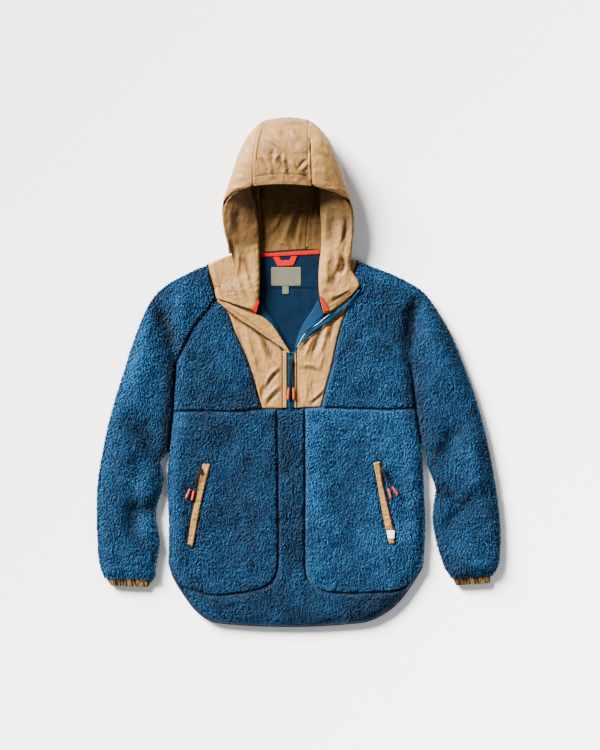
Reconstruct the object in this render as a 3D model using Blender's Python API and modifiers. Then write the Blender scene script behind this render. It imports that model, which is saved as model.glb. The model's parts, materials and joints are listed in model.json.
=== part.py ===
"""A hooded half-zip fleece jacket, laid flat on its back.

Tables are in millimetres and the objects in metres. +Z is up from the surface it lies on, +Y points
to the hood's crown and +X to the right of someone who looks down at it. Left and right are that
person's. The origin is on the surface, under the middle of the jacket's box.
"""

import math
from collections import namedtuple

import bmesh
import bpy
from mathutils import Vector, geometry

MM = 0.001
SEAM_GAP = 0.3
BACK_TOP = 9.0          # thickness of the fleece under the jacket's own weight
LINING_LOW = 9.3
LINING_TOP = 10.2
FRONT_LOW = 10.6
FLEECE_TOP = 22.0       # tips of the front's pile
NYLON_TOP = 15.8        # lightly padded chest insets
EDGE_ROLL = 13.0        # how far in from an outer edge the pile starts to round off
EDGE_DROP = 7.0
BACK_RISE = 4.5
SEAM_REACH = 7.0
SEAM_DROP = 3.0
SLEEVE_FULLNESS = 2.5
BINDING_WIDTH = 6.0
HOOD_WALL = 3.0
HOOD_SEAM_GAP = 1.0
BRIM_Y = 373.0
OUTLINE_STEP = 24.0
INSIDE_STEP = 46.0
FINE_STEP = 12.0
CUFF_GATHERS = 20
CUFF_GATHER_DEPTH = 0.7
CUFF_HALF_HEIGHT = 6.4  # pressed flat
CUFF_WALL = 3.0
CUFF_MIDDLE_Z = 7.4
CUFF_NARROWING = 2.5    # each end of the sleeve's edge is gathered in by this
CUFF_LEVELS = 3
CUFF_HANDS = {"left": ((-302, -430), (-376, -427)), "right": ((383, -422), (315, -427))}
CORD_RADIUS = 1.2

Colour = namedtuple("Colour", "name rgb roughness metallic")
BLUE_FLEECE = Colour("blue_fleece", (0.012, 0.095, 0.23), 0.95, 0.0)
TAN_NYLON = Colour("tan_nylon", (0.58, 0.40, 0.23), 0.55, 0.0)
BLUE_LINING = Colour("blue_lining", (0.006, 0.055, 0.13), 0.7, 0.0)
CORAL_TAPE = Colour("coral_tape", (0.82, 0.09, 0.06), 0.6, 0.0)
NAVY_BINDING = Colour("navy_binding", (0.012, 0.016, 0.03), 0.8, 0.0)
ZIP_TAPE = Colour("zip_tape", (0.012, 0.06, 0.12), 0.7, 0.0)
BLACK_ZIP = Colour("black_zip", (0.01, 0.01, 0.012), 0.5, 0.0)
GREY_METAL = Colour("grey_metal", (0.2, 0.21, 0.22), 0.35, 0.9)
DARK_CORD = Colour("dark_cord", (0.012, 0.014, 0.02), 0.8, 0.0)
CORAL_TIP = Colour("coral_tip", (0.85, 0.14, 0.07), 0.45, 0.0)
GREIGE_LABEL = Colour("greige_label", (0.5, 0.48, 0.4), 0.8, 0.0)
WHITE_LABEL = Colour("white_label", (0.8, 0.8, 0.78), 0.7, 0.0)

# Edges that panels share, each a smooth curve through a few (x, y) places.
EDGES = {
    # outer edge of each sleeve, from the neck to the cuff
    "sleeve_outer_left": [
        (-181, 216), (-211, 203), (-261, 177), (-294, 145), (-322, 86), (-350, 2),
        (-379, -96), (-401, -209), (-404, -286), (-400, -376), (-388, -412),
    ],
    "sleeve_outer_right": [
        (116, 222), (163, 206), (203, 189), (246, 164), (274, 129), (305, 75), (331, 12),
        (355, -55), (379, -145), (399, -260), (404, -336), (399, -392), (387, -407),
    ],
    "sleeve_end_left": [(-388, -412), (-340, -414), (-289, -415)],
    "sleeve_end_right": [(387, -407), (350, -410), (306, -412)],
    # inner edge of each sleeve, from the cuff to the underarm
    "sleeve_inner_left": [
        (-289, -415), (-280, -356), (-278, -336), (-286, -280), (-271, -219), (-277, -180),
        (-264, -159),
    ],
    "sleeve_inner_right": [
        (306, -412), (296, -398), (284, -369), (270, -311), (269, -272), (274, -231),
        (259, -190), (250, -142),
    ],
    # the body's side above the underarm, in three runs from the raglan seam down
    "side_high_left": [(-246, 14), (-250, -35), (-252, -78)],
    "side_high_right": [(223, 20), (230, -25), (235, -71)],
    "side_armpit_left": [(-252, -78), (-257, -125), (-260, -157)],
    "side_armpit_right": [(235, -71), (241, -110), (246, -141)],
    "side_low_left": [(-260, -157), (-263, -222), (-260, -286), (-260, -387)],
    "side_low_right": [(246, -141), (250, -222), (253, -311), (249, -390)],
    "underarm_left": [(-264, -159), (-260, -157)],
    "underarm_right": [(250, -142), (246, -141)],
    # front raglan seams, from the chest inset to the side
    "raglan_left": [(-165, 147), (-197, 106), (-217, 78), (-235, 38), (-246, 14)],
    "raglan_right": [(103, 145), (120, 122), (164, 78), (205, 43), (223, 20)],
    # edges of the two chest insets against the fleece, above and below the raglan seam
    "inset_high_left": [(-181, 216), (-177, 194), (-171, 172), (-165, 147)],
    "inset_high_right": [(116, 222), (113, 207), (107, 172), (103, 145)],
    "inset_low_left": [(-165, 147), (-141, 118), (-129, 85), (-105, 32), (-89, -16), (-73, -73)],
    "inset_low_right": [(103, 145), (91, 112), (78, 69), (67, 16), (55, -29), (45, -70)],
    "shoulder_left": [(-140, 234), (-160, 226), (-181, 216)],
    "shoulder_right": [(105, 225), (116, 222)],
    # the seam across the chest, in four runs from the left side to the right
    "chest_seam_left": [(-252, -78), (-190, -77), (-130, -78), (-73, -73)],
    "chest_seam_inset_left": [(-73, -73), (-44, -73)],
    "chest_seam_middle": [(-44, -73), (12, -72)],
    "chest_seam_inset_right": [(12, -72), (45, -70)],
    "chest_seam_right": [(45, -70), (120, -72), (180, -74), (235, -71)],
    # inner edges of the pocket panels, down from the chest seam and round to the hem
    "pocket_edge_left": [
        (-44, -73), (-42, -220), (-41, -370), (-46, -407), (-64, -427), (-94, -437),
        (-136, -444), (-180, -444), (-231, -438),
    ],
    "pocket_edge_right": [
        (12, -72), (13, -220), (13, -385), (24, -420), (44, -436), (84, -441), (140, -441),
        (190, -438), (215, -437),
    ],
    "hem": [
        (-260, -387), (-249, -418), (-217, -466), (-195, -488), (-171, -501), (-115, -507),
        (-41, -510), (38, -509), (127, -502), (158, -492), (185, -475), (207, -454),
        (229, -423), (249, -390),
    ],
    # the back's own seams, which only show underneath
    "back_neck": [(-140, 234), (-79, 238), (0, 243.5), (36, 243), (67, 236), (90, 229), (105, 225)],
    "back_raglan_left": [(-181, 216), (-205, 120), (-228, 20), (-248, -80), (-260, -157)],
    "back_raglan_right": [(116, 222), (160, 120), (200, 20), (232, -75), (246, -141)],
}

# Soft troughs in a panel's upper face: a curve through three places, its half width and its depth.
Trough = namedtuple("Trough", "panel x0 y0 x1 y1 x2 y2 half_width depth")
TROUGHS = [
    Trough("sleeve_front_left", -287, 130, -262, 80, -250, 24, 15, 6.0),
    Trough("sleeve_front_left", -287, -280, -322, -272, -333, -312, 15, 4.5),
    Trough("sleeve_front_left", -345, -234, -330, -322, -296, -372, 18, 3.5),
    Trough("sleeve_front_left", -322, -88, -302, -132, -284, -164, 19, 4.0),
    Trough("sleeve_front_right", 236, 152, 225, 95, 219, 34, 14, 6.0),
    Trough("sleeve_front_right", 311, -105, 300, -140, 287, -172, 18, 4.0),
    Trough("sleeve_front_right", 367, -234, 314, -288, 286, -330, 18, 4.5),
    Trough("sleeve_front_right", 274, -232, 300, -240, 322, -262, 13, 3.5),
    Trough("inset_left", -69, 72, -60, 54, -50, 34, 6, 1.6),
    Trough("inset_left", -36, 0, -46, -12, -57, -25, 6, 1.8),
    Trough("inset_left", -38, -39, -54, -49, -69, -62, 6, 1.8),
    Trough("inset_right", 46, 85, 39, 44, 28, 21, 6, 1.8),
    Trough("inset_right", 2, 10, 28, 2, 46, -23, 6, 1.6),
    Trough("inset_right", 47, -46, 38, -56, 28, -64, 6, 1.5),
]

# Pocket welts: level by level, the welt's two edges.
Welt = namedtuple("Welt", "y_left x_left y_right x_right")
WELT_LEFT = [
    Welt(-183, -194, -184, -177), Welt(-240, -206, -242, -191), Welt(-293, -217, -296, -202),
    Welt(-342, -224, -349, -212),
]
WELT_RIGHT = [
    Welt(-182, 150, -178, 165), Welt(-215, 157, -219, 170), Welt(-257, 164, -275, 183),
    Welt(-300, 172, -314, 192), Welt(-343, 182, -343, 195),
]
WELT_BED = 18.2         # the fleece is shorn to this under a welt
WELT_TOP = 22.2
WELT_BED_MARGIN = 1.5
WELT_BED_SLOPE = 5.0
POCKET_ZIP_WIDTH = 3.2

# The hood's middle strip, from the brim over the crown and down its back to the neck seam: the
# places of its two edges, and how far its middle stands out from them.
Strip = namedtuple("Strip", "y_left y_right z x_left x_right y_arch z_arch")
HOOD_STRIP = [
    Strip(370.5, 370.5, 80, -89, 26, 3.5, 2.5), Strip(394, 394, 84, -88, 25, 2, 2.5),
    Strip(427, 427, 86, -82, 24, 0, 2.5), Strip(461, 461, 80, -77, 23, 2, 2),
    Strip(486, 486, 64, -71, 22, 4, 1), Strip(498, 498, 45, -68, 21, 5.5, 0),
    Strip(502.8, 502.8, 28, -67, 21, 6.1, 0), Strip(496, 496, 12, -66, 20, 5, 0),
    Strip(478, 478, 4, -67, 21, 2, 0), Strip(440, 440, 1.8, -72, 23, 0, 0),
    Strip(384, 384, 1.8, -80, 28, 0, 0), Strip(320, 320, 2.5, -76, 23, 0, 0),
    Strip(270, 270, 5, -73, 18, 0, 0), Strip(240.5, 247, 8.5, -72, 17, 0, 0),
]

# Each hood side, row by row from the crown to the neck: its upper edge, which is free from the
# brim down and follows the middle strip above it, its widest place, and where its lower edge is.
Side = namedtuple("Side", "y_top x_top z_top x_wide z_wide y_low")
HOOD_SIDE_LEFT = [
    Side(500.6, -69, 44, -70.5, 29, 500.6), Side(494, -70.5, 60, -80, 34, 494),
    Side(470, -76, 77, -101, 38, 470), Side(438, -80.7, 85, -118, 42, 438),
    Side(405, -86.7, 85, -129, 42, 405), Side(374, -89.3, 80, -140, 40, 374),
    Side(366, -107, 76, -142.5, 39, 366), Side(360, -126, 68, -144.5, 38, 360),
    Side(352, -140, 57, -147, 36, 352), Side(340, -149, 47, -150, 30, 340),
    Side(318, -152, 41, -151.5, 24, 318), Side(286, -149, 35, -148, 20, 286),
    Side(262, -143, 31, -142, 18, 262), Side(237, -139, 28, -138, 19, 240),
]
HOOD_SIDE_RIGHT = [
    Side(500.6, 22, 44, 24, 29, 500.6), Side(494, 22.6, 60, 33, 34, 494),
    Side(470, 23.2, 77, 55, 38, 470), Side(438, 24.2, 85, 73, 42, 438),
    Side(405, 25.2, 85, 86, 42, 405), Side(374, 26.4, 80, 95, 40, 374),
    Side(366, 46, 76, 97.5, 39, 366), Side(360, 67, 69, 99, 38, 360),
    Side(352, 85, 61, 101, 36, 352), Side(342, 101, 50, 103.5, 30, 342),
    Side(318, 108, 41, 107.5, 24, 318), Side(286, 109, 35, 108, 20, 286),
    Side(262, 107, 31, 106, 18, 262), Side(229, 105, 27, 104, 19, 246.5),
]

# Each turned-out front of the hood and collar, from under the brim to its free corner: its outer
# edge, which lies over the hood side's free edge, the roll it is turned over, and how low its
# inner side comes down.
Collar = namedtuple("Collar", "x_out y_out z_out x_roll y_roll z_roll z_foot")
COLLAR_LEFT = [
    Collar(-98, 388, 72, -93, 394, 46, 6), Collar(-114, 366, 66, -97, 374, 42, 6),
    Collar(-133, 352, 56, -94, 356, 38, 6), Collar(-145, 338, 50, -88, 340, 36, 6),
    Collar(-151, 318, 44.5, -84, 318, 34, 7), Collar(-149, 286, 38.5, -80, 286, 33, 9),
    Collar(-142.5, 260, 34.5, -79, 258, 31, 11), Collar(-134, 234, 28, -79, 228, 30, 12),
    Collar(-126, 198, 20.5, -78.5, 198, 29, 12), Collar(-134, 180, 19.5, -78.5, 178, 28, 12),
    Collar(-156, 174, 18.8, -79, 166, 27, 12), Collar(-167, 163, 19.5, -80, 150, 26, 12),
    Collar(-164, 148, 20.6, -83, 124, 23.5, 12),
]
COLLAR_RIGHT = [
    Collar(37, 388, 72, 37, 394, 46, 6), Collar(56, 365, 65, 42, 374, 42, 6),
    Collar(79, 351, 56, 42.5, 356, 38, 6), Collar(97, 339, 52, 43, 340, 36, 6),
    Collar(107, 318, 44.5, 44, 318, 34, 7), Collar(108.5, 286, 38.5, 46, 286, 33, 9),
    Collar(106.5, 258, 34.5, 46.5, 254, 31, 11), Collar(104, 230, 30, 43, 225, 30, 12),
    Collar(105, 205, 24, 41, 200, 29, 12), Collar(114, 190, 25.6, 41, 180, 29, 12),
    Collar(121.5, 173, 26, 42, 160, 28, 12), Collar(104, 153, 24.6, 46, 138, 26, 12),
    Collar(72, 127, 20.5, 51, 118, 23, 12),
]
COLLAR_CREST_WIDTH = 7.0    # how wide the roll's top is
COLLAR_CREST_RISE = 1.0
COLLAR_ROLL_DROP = 6.0
COLLAR_SWELL = 1.5
COLLAR_WAVE = 1.2

# A band row: the places of its two edges.
Band = namedtuple("Band", "x0 y0 z0 x1 y1 z1")
PLACKET_LEFT = [
    Band(-163, 143.5, 20.8, -146, 139, 20.8), Band(-150, 131, 20.6, -120, 128, 21.5),
    Band(-117, 105, 18.2, -92, 115.5, 22.6), Band(-95, 91, 18.2, -76, 113, 22.8),
    Band(-73, 76, 18.2, -54, 96, 22), Band(-36, 51, 18.2, -34, 66, 20.5),
    Band(-20, 38, 17.8, -17, 39, 18.2),
]
PLACKET_RIGHT = [
    Band(123.5, 165, 26, 119, 164.5, 26), Band(97, 132, 24.6, 101, 143, 25),
    Band(74, 116, 18.2, 71, 121.5, 20.5), Band(44, 93, 18.2, 53, 111, 22.3),
    Band(23, 85, 18.2, 21, 92, 21), Band(5, 62, 18, 6, 71, 19.5), Band(-9, 38, 17.6, -8, 41.5, 18),
]
LINING_EDGE_LEFT = [
    Band(-79, 119, 18.6, -76, 136, 13), Band(-66, 107.5, 18.4, -61, 117, 12.4),
    Band(-50, 93, 17.6, -45, 96, 12), Band(-34, 65, 16.5, -29, 66, 12), Band(-20, 42, 14.5, -18, 44, 12),
]
LINING_EDGE_RIGHT = [
    Band(51, 113, 18, 40, 146, 13), Band(38, 103, 17.6, 26, 122, 12.5), Band(21, 90.5, 17, 10, 98, 12.2),
    Band(7, 73, 15.5, -1, 75, 12), Band(-5, 48, 14, -8, 48.5, 12),
]
TAPE_END_LEFT = [Band(-94, 124.5, 27.2, -84.5, 118.5, 26.2), Band(-81.5, 146, 30.2, -78.5, 141, 29.8)]
TAPE_END_RIGHT = [Band(50, 119, 27.6, 61.5, 122.5, 28.2), Band(42.5, 153, 31, 47.5, 151, 31)]
BAND_WALL = 1.8
TAPE_WALL = 1.2

NECK_TAPE = [(-77, 230), (43, 236), (43, 245), (-77, 237.5)]
HANGER_OUTER = [(-2, 233), (-10, 213), (-42, 212), (-51.5, 230.8)]
HANGER_SLOT = [(-39, 231.4), (-34.5, 224), (-18.5, 224.5), (-14, 232.5)]
NECK_LABEL = [(-55, 172.8), (5, 172.8), (5, 210.5), (-55, 210.5)]
SIZE_LABEL = [(-32.5, 156.5), (-19.5, 156.5), (-19.5, 172.3), (-32.5, 172.3)]
POCKET_LABEL = [(178.5, -333), (191.5, -333), (192.2, -316), (176, -316)]
LINING_YOKE = [(-90, 168), (58, 168), (58, 224), (40, 236), (0, 239), (-79, 233.5), (-90, 231)]
LINING_BACK = [
    (-90, 167.7), (-90, 118), (-62, 84), (-30, 26), (3, 26), (22, 66), (62, 100), (58, 167.7),
]
INSET_NECK_LEFT = [(-140, 234), (-110, 233), (-88, 231)]
INSET_NECK_RIGHT = [(54, 228), (80, 228), (105, 225)]
INSET_FRONT_LEFT = [(-88, 231), (-88, 130), (-62, 90), (-33, 42)]
INSET_FRONT_RIGHT = [(-4, 42), (12, 66), (54, 104), (54, 228)]

ZIP_MIDDLE = -15.4
ZIP_HALF_WIDTH = 7.5
ZIP_TAPE_TOP = 14.6
ZIP_STRIP_WIDTH = 9.0
ZIP_TOP_Y = 42.0
ZIP_BOTTOM_Y = -71.8
ZIP_STRIP_TOP = 16.8

Pull = namedtuple("Pull", "name x y z heading_x heading_y tab_length tip_length tips")
Tip = namedtuple("Tip", "x y heading_x heading_y")
SLIDER_SIZE = (11, 9, 3.0)
SLIDER_EARS = (6, 1.5, 3.0)     # they hold the tab's pin, one on each side
SLIDER_CLEARANCE = 2.1          # from the tab's axis down to the slider
TAB_WIDTH = 5.0
TAB_THICKNESS = 1.6
TAB_BEHIND_AXIS = 1.6
CORD_LOOP_HALF_WIDTH = 1.6
TIP_RADII = (2.7, 2.0)
TIP_HEIGHT = FLEECE_TOP + 3.3
PULLS = [
    Pull("front", ZIP_MIDDLE, 21, 20.0, 0, -1, 20, 24,
         (Tip(-19.8, -31, -0.06, -1), Tip(-10.6, -31, 0.06, -1))),
    Pull("pocket_left", -197, -198, 28.0, -0.45, -0.89, 16, 20,
         (Tip(-217, -233.5, -0.4, -0.92), Tip(-209, -237, -0.22, -0.98))),
    Pull("pocket_right", 168, -198, 28.0, 0.5, -0.87, 16, 20,
         (Tip(179.5, -232.5, 0.27, -0.96), Tip(187.5, -228.5, 0.55, -0.84))),
]


def clear_scene():
    for obj in list(bpy.data.objects):
        bpy.data.objects.remove(obj, do_unlink=True)
    for collection in list(bpy.data.collections):
        bpy.data.collections.remove(collection)


def material_of(colour):
    """The colour's material, made once."""
    found = bpy.data.materials.get(colour.name)
    if found:
        return found
    made = bpy.data.materials.new(colour.name)
    made.use_nodes = True
    shader = made.node_tree.nodes["Principled BSDF"]
    shader.inputs["Base Color"].default_value = (*colour.rgb, 1.0)
    shader.inputs["Roughness"].default_value = colour.roughness
    shader.inputs["Metallic"].default_value = colour.metallic
    made.diffuse_color = (*colour.rgb, 1.0)
    return made


def add_object(name, data, colour):
    data.materials.append(material_of(colour))
    obj = bpy.data.objects.new(name, data)
    JACKET.objects.link(obj)
    return obj


def add_mesh(name, points, faces, colour, smooth=True):
    """An object from points in millimetres; its faces are turned outwards."""
    shape = bmesh.new()
    corners = [shape.verts.new(Vector(point) * MM) for point in points]
    for face in faces:
        shape.faces.new([corners[index] for index in face])
    bmesh.ops.recalc_face_normals(shape, faces=shape.faces)
    mesh = bpy.data.meshes.new(name)
    shape.to_mesh(mesh)
    shape.free()
    if smooth:
        mesh.shade_smooth()
        mesh.set_sharp_from_angle(angle=math.radians(50))
    return add_object(name, mesh, colour)


def rows_between(rows, parts):
    """A Catmull-Rom curve through the rows, with the same number of parts between each two."""
    rows = [tuple(map(float, row)) for row in rows]
    first = tuple(2 * a - b for a, b in zip(rows[0], rows[1]))
    last = tuple(2 * a - b for a, b in zip(rows[-1], rows[-2]))
    padded = [first, *rows, last]
    made = []
    for index in range(1, len(padded) - 2):
        around = list(zip(*padded[index - 1:index + 3]))
        for part in range(parts):
            t = part / parts
            made.append(tuple(
                0.5 * (2 * b + (c - a) * t + (2 * a - 5 * b + 4 * c - d) * t * t
                       + (3 * b - a - 3 * c + d) * t ** 3)
                for a, b, c, d in around
            ))
    made.append(rows[-1])
    return made


def curve_through(rows, step):
    """Evenly spaced places on a smooth curve through rows of any number of columns."""
    fine = rows_between(rows, 16)
    lengths = [0.0]
    for one, two in zip(fine, fine[1:]):
        lengths.append(lengths[-1] + math.dist(one, two))
    count = max(1, round(lengths[-1] / step))
    spaced = []
    at = 0
    for index in range(count + 1):
        wanted = lengths[-1] * index / count
        while at < len(lengths) - 2 and lengths[at + 1] < wanted:
            at += 1
        span = lengths[at + 1] - lengths[at]
        share = (wanted - lengths[at]) / span if span else 0.0
        spaced.append(tuple(a + (b - a) * share for a, b in zip(fine[at], fine[at + 1])))
    return spaced


def edge(name):
    """The named edge as even steps; a leading minus sign runs it the other way."""
    if name.startswith("-"):
        return edge(name[1:])[::-1]
    return curve_through(EDGES[name], OUTLINE_STEP)


def joined(runs):
    """One closed outline from runs that each start where the last one ends."""
    outline = []
    for run in runs:
        for place in run:
            if not outline or math.dist(outline[-1], place) > 0.01:
                outline.append(place)
    if math.dist(outline[0], outline[-1]) < 0.01:
        outline.pop()
    return outline


def signed_area(outline):
    return 0.5 * sum(
        x0 * y1 - x1 * y0 for (x0, y0), (x1, y1) in zip(outline, outline[1:] + outline[:1])
    )


def inset(outline, distance):
    """The closed outline moved inwards, corner by corner."""
    turn = 1.0 if signed_area(outline) > 0 else -1.0
    moved = []
    for index, (x, y) in enumerate(outline):
        before = outline[index - 1]
        after = outline[(index + 1) % len(outline)]
        ax, ay = x - before[0], y - before[1]
        bx, by = after[0] - x, after[1] - y
        al, bl = math.hypot(ax, ay), math.hypot(bx, by)
        nx, ny = -ay / al - by / bl, ax / al + bx / bl
        size = math.hypot(nx, ny)
        if size < 1e-6:
            moved.append((x, y))
            continue
        nx, ny = nx / size, ny / size
        across = max(0.4, nx * -ay / al + ny * ax / al)
        moved.append((x + turn * nx * distance / across, y + turn * ny * distance / across))
    return moved


def distance_to(place, line):
    """How far the place is from a line of places."""
    px, py = place
    nearest = math.inf
    for (ax, ay), (bx, by) in zip(line, line[1:]):
        dx, dy = bx - ax, by - ay
        square = dx * dx + dy * dy
        share = ((px - ax) * dx + (py - ay) * dy) / square if square else 0.0
        share = min(1.0, max(0.0, share))
        nearest = min(nearest, math.hypot(px - ax - share * dx, py - ay - share * dy))
    return nearest


def is_inside(place, outline):
    px, py = place
    found = False
    for (ax, ay), (bx, by) in zip(outline, outline[1:] + outline[:1]):
        if (ay > py) != (by > py) and px < ax + (py - ay) * (bx - ax) / (by - ay):
            found = not found
    return found


def rounded(distance, reach):
    """0 at an edge and 1 from reach on, along a quarter circle."""
    share = min(1.0, distance / reach)
    return math.sqrt(1.0 - (1.0 - share) ** 2)


def trough_line(trough, step):
    return curve_through(
        [(trough.x0, trough.y0), (trough.x1, trough.y1), (trough.x2, trough.y2)], step
    )


def trough_depth(place, trough, line):
    """How deep the trough is at the place: full along its middle, fading to its ends and sides."""
    away = distance_to(place, line)
    if away > 2.2 * trough.half_width:
        return 0.0
    nearest = min(range(len(line)), key=lambda index: math.dist(place, line[index]))
    along = nearest / (len(line) - 1)
    ends = min(1.0, 0.45 + 2.2 * min(along, 1.0 - along))
    return trough.depth * ends * math.exp(-((away / trough.half_width) ** 2))


def trough_places(trough):
    """Places along a trough's middle and its two shoulders."""
    line = trough_line(trough, max(10.0, 1.4 * trough.half_width))
    places = list(line)
    for index, (x, y) in enumerate(line):
        before = line[max(0, index - 1)]
        after = line[min(len(line) - 1, index + 1)]
        dx, dy = after[0] - before[0], after[1] - before[1]
        size = math.hypot(dx, dy)
        for side in (-1.3, 1.3):
            reach = side * trough.half_width / size
            places.append((x - dy * reach, y + dx * reach))
    return places


def triangles_in(outline, places, loops=()):
    """The outline filled with triangles that use the places, and the loops' sides, inside it."""
    corners = [Vector(place) for place in [*outline, *places]]
    count = len(outline)
    sides = [(index, (index + 1) % count) for index in range(count)]
    for loop in loops:
        start = len(corners)
        corners += [Vector(place) for place in loop]
        sides += [(start + index, start + (index + 1) % len(loop)) for index in range(len(loop))]
    found, _, faces, sources, _, _ = geometry.delaunay_2d_cdt(corners, sides, [], 1, 1e-5)
    index_of = [source[0] for source in sources]
    return [tuple(index_of[corner] for corner in face) for face in faces]


def spread_places(outline, rings, step, kept):
    """Places inside the outline: rings along it, the kept ones, and an even spread between them."""
    border = outline + outline[:1]
    places = []
    for ring in rings:
        for place in inset(outline, ring):
            clear = all(math.dist(place, other) > 0.75 * ring for other in places)
            if clear and is_inside(place, outline) and distance_to(place, border) > 0.9 * ring:
                places.append(place)
    for place in kept:
        if is_inside(place, outline) and distance_to(place, border) > 3.0:
            if all(math.dist(place, other) > 3.5 for other in places):
                places.append(place)
    low_x, high_x = min(p[0] for p in outline), max(p[0] for p in outline)
    low_y, high_y = min(p[1] for p in outline), max(p[1] for p in outline)
    row = 0
    y = low_y + step / 2
    while y < high_y:
        x = low_x + step / (2 if row % 2 else 1)
        while x < high_x:
            place = (x, y)
            if is_inside(place, outline) and distance_to(place, border) > 0.42 * step:
                if all(math.dist(place, other) > 0.42 * step for other in places):
                    places.append(place)
            x += step
        y += step * 0.87
        row += 1
    return places


def slab(name, outline, low, top, colour, rings=(7.0,), step=INSIDE_STEP, kept=(), loops=(),
         low_rings=()):
    """A panel that lies flat: its outline, and the heights of its two faces as functions."""
    outline = inset(outline, SEAM_GAP / 2)
    count = len(outline)
    top_places = spread_places(outline, rings, step, kept)
    for loop in loops:
        top_places = [place for place in top_places if distance_to(place, loop + loop[:1]) > 4.0]
    loop_places = [place for loop in loops for place in loop]
    low_places = spread_places(outline, low_rings, 1.4 * step, ()) if low_rings else []
    points = [(x, y, top((x, y))) for x, y in outline + top_places + loop_places]
    start = len(points)
    points += [(x, y, low((x, y))) for x, y in outline + low_places]
    faces = triangles_in(outline, top_places, loops)
    faces += [tuple(start + index for index in face) for face in triangles_in(outline, low_places)]
    for index in range(count):
        after = (index + 1) % count
        faces.append((index, after, start + after, start + index))
    return add_mesh(name, points, faces, colour)


def level(height):
    return lambda place: height


def upper_face(name, open_edges, seam_edges, height=FLEECE_TOP, fullness=0.0, beds=()):
    """The height of a front panel: rounded off at open edges, let in at seams, with its troughs."""
    troughs = [(trough, trough_line(trough, 8.0)) for trough in TROUGHS if trough.panel == name]

    def top(place):
        z = height
        away = [distance_to(place, line) for line in open_edges]
        if away:
            z -= EDGE_DROP * (1.0 - rounded(min(away), EDGE_ROLL))
            z += fullness * rounded(min(away), 5 * EDGE_ROLL)
        seams = [distance_to(place, line) for line in seam_edges]
        if seams:
            z -= SEAM_DROP * (1.0 - rounded(min(seams), SEAM_REACH))
        z -= sum(trough_depth(place, trough, line) for trough, line in troughs)
        for bed in beds:
            away = 0.0 if is_inside(place, bed) else distance_to(place, bed + bed[:1])
            if away < WELT_BED_MARGIN + WELT_BED_SLOPE:
                share = max(0.0, away - 2 * WELT_BED_MARGIN) / (WELT_BED_SLOPE - WELT_BED_MARGIN)
                z = min(z, WELT_BED - 0.3 + (height - WELT_BED + 0.3) * share)
        return z

    return top


def trough_kept(name):
    return [place for trough in TROUGHS if trough.panel == name for place in trough_places(trough)]


def lower_face(open_edges):
    """The height of a back panel's underside: flat, rising round its outer edges."""
    return lambda place: BACK_RISE * (
        1.0 - rounded(min(distance_to(place, line) for line in open_edges), EDGE_ROLL)
    )


def welt_outline(rows):
    left = curve_through([(row.x_left, row.y_left) for row in rows], FINE_STEP)
    right = curve_through([(row.x_right, row.y_right) for row in rows], FINE_STEP)
    return left + right[::-1]


def grown(outline, distance):
    return inset(outline, -distance)


def wall(name, grid, thickness, colour):
    """A wall of even thickness on a grid of places, half of it to each side."""
    rows, columns = len(grid), len(grid[0])
    middle = [[Vector(place) for place in row] for row in grid]
    outer, inner = [], []
    for i in range(rows):
        for j in range(columns):
            down = middle[min(i + 1, rows - 1)][j] - middle[max(i - 1, 0)][j]
            along = middle[i][min(j + 1, columns - 1)] - middle[i][max(j - 1, 0)]
            normal = down.cross(along).normalized()
            outer.append(middle[i][j] + normal * (thickness / 2))
            inner.append(middle[i][j] - normal * (thickness / 2))
    start = len(outer)
    faces = []
    for i in range(rows - 1):
        for j in range(columns - 1):
            a = i * columns + j
            b = a + columns
            faces.append((a, a + 1, b + 1, b))
            faces.append((start + a, start + b, start + b + 1, start + a + 1))
    rim = [(0, j) for j in range(columns)] + [(i, columns - 1) for i in range(1, rows)]
    rim += [(rows - 1, j) for j in range(columns - 2, -1, -1)] + [(i, 0) for i in range(rows - 2, 0, -1)]
    for (i0, j0), (i1, j1) in zip(rim, rim[1:] + rim[:1]):
        a, b = i0 * columns + j0, i1 * columns + j1
        faces.append((a, b, start + b, start + a))
    return add_mesh(name, outer + inner, faces, colour)


def bend(start, corner, end, parts):
    """Places on a quadratic curve, without its end."""
    made = []
    for part in range(parts):
        t = part / parts
        made.append(tuple(
            (1 - t) ** 2 * a + 2 * t * (1 - t) * b + t * t * c for a, b, c in zip(start, corner, end)
        ))
    return made


def hood_strip():
    grid = []
    for row in map(Strip._make, rows_between(HOOD_STRIP, 2)):
        line = []
        for part in range(5):
            share = part / 4
            arch = math.sin(math.pi * share)
            line.append((
                row.x_left + (row.x_right - row.x_left) * share,
                row.y_left + (row.y_right - row.y_left) * share + row.y_arch * arch,
                row.z + row.z_arch * arch,
            ))
        grid.append(line)
    wall("hood_middle", grid, HOOD_WALL, TAN_NYLON)


def strip_edge(y, outward, upper):
    """Where the middle strip's edge is at this y, over the crown's upper half or under it."""
    rows = [Strip._make(row) for row in rows_between(HOOD_STRIP, 2)]
    crown = max(range(len(rows)), key=lambda index: rows[index].y_left)
    rows = rows[:crown + 1] if upper else rows[crown:]
    line = [(row.y_left, row.x_left, row.z) if outward < 0 else (row.y_right, row.x_right, row.z)
            for row in rows]
    for (y0, x0, z0), (y1, x1, z1) in zip(line, line[1:]):
        if min(y0, y1) <= y <= max(y0, y1):
            share = (y - y0) / (y1 - y0)
            return x0 + (x1 - x0) * share, z0 + (z1 - z0) * share
    nearest = min(line, key=lambda place: abs(place[0] - y))
    return nearest[1], nearest[2]


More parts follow.
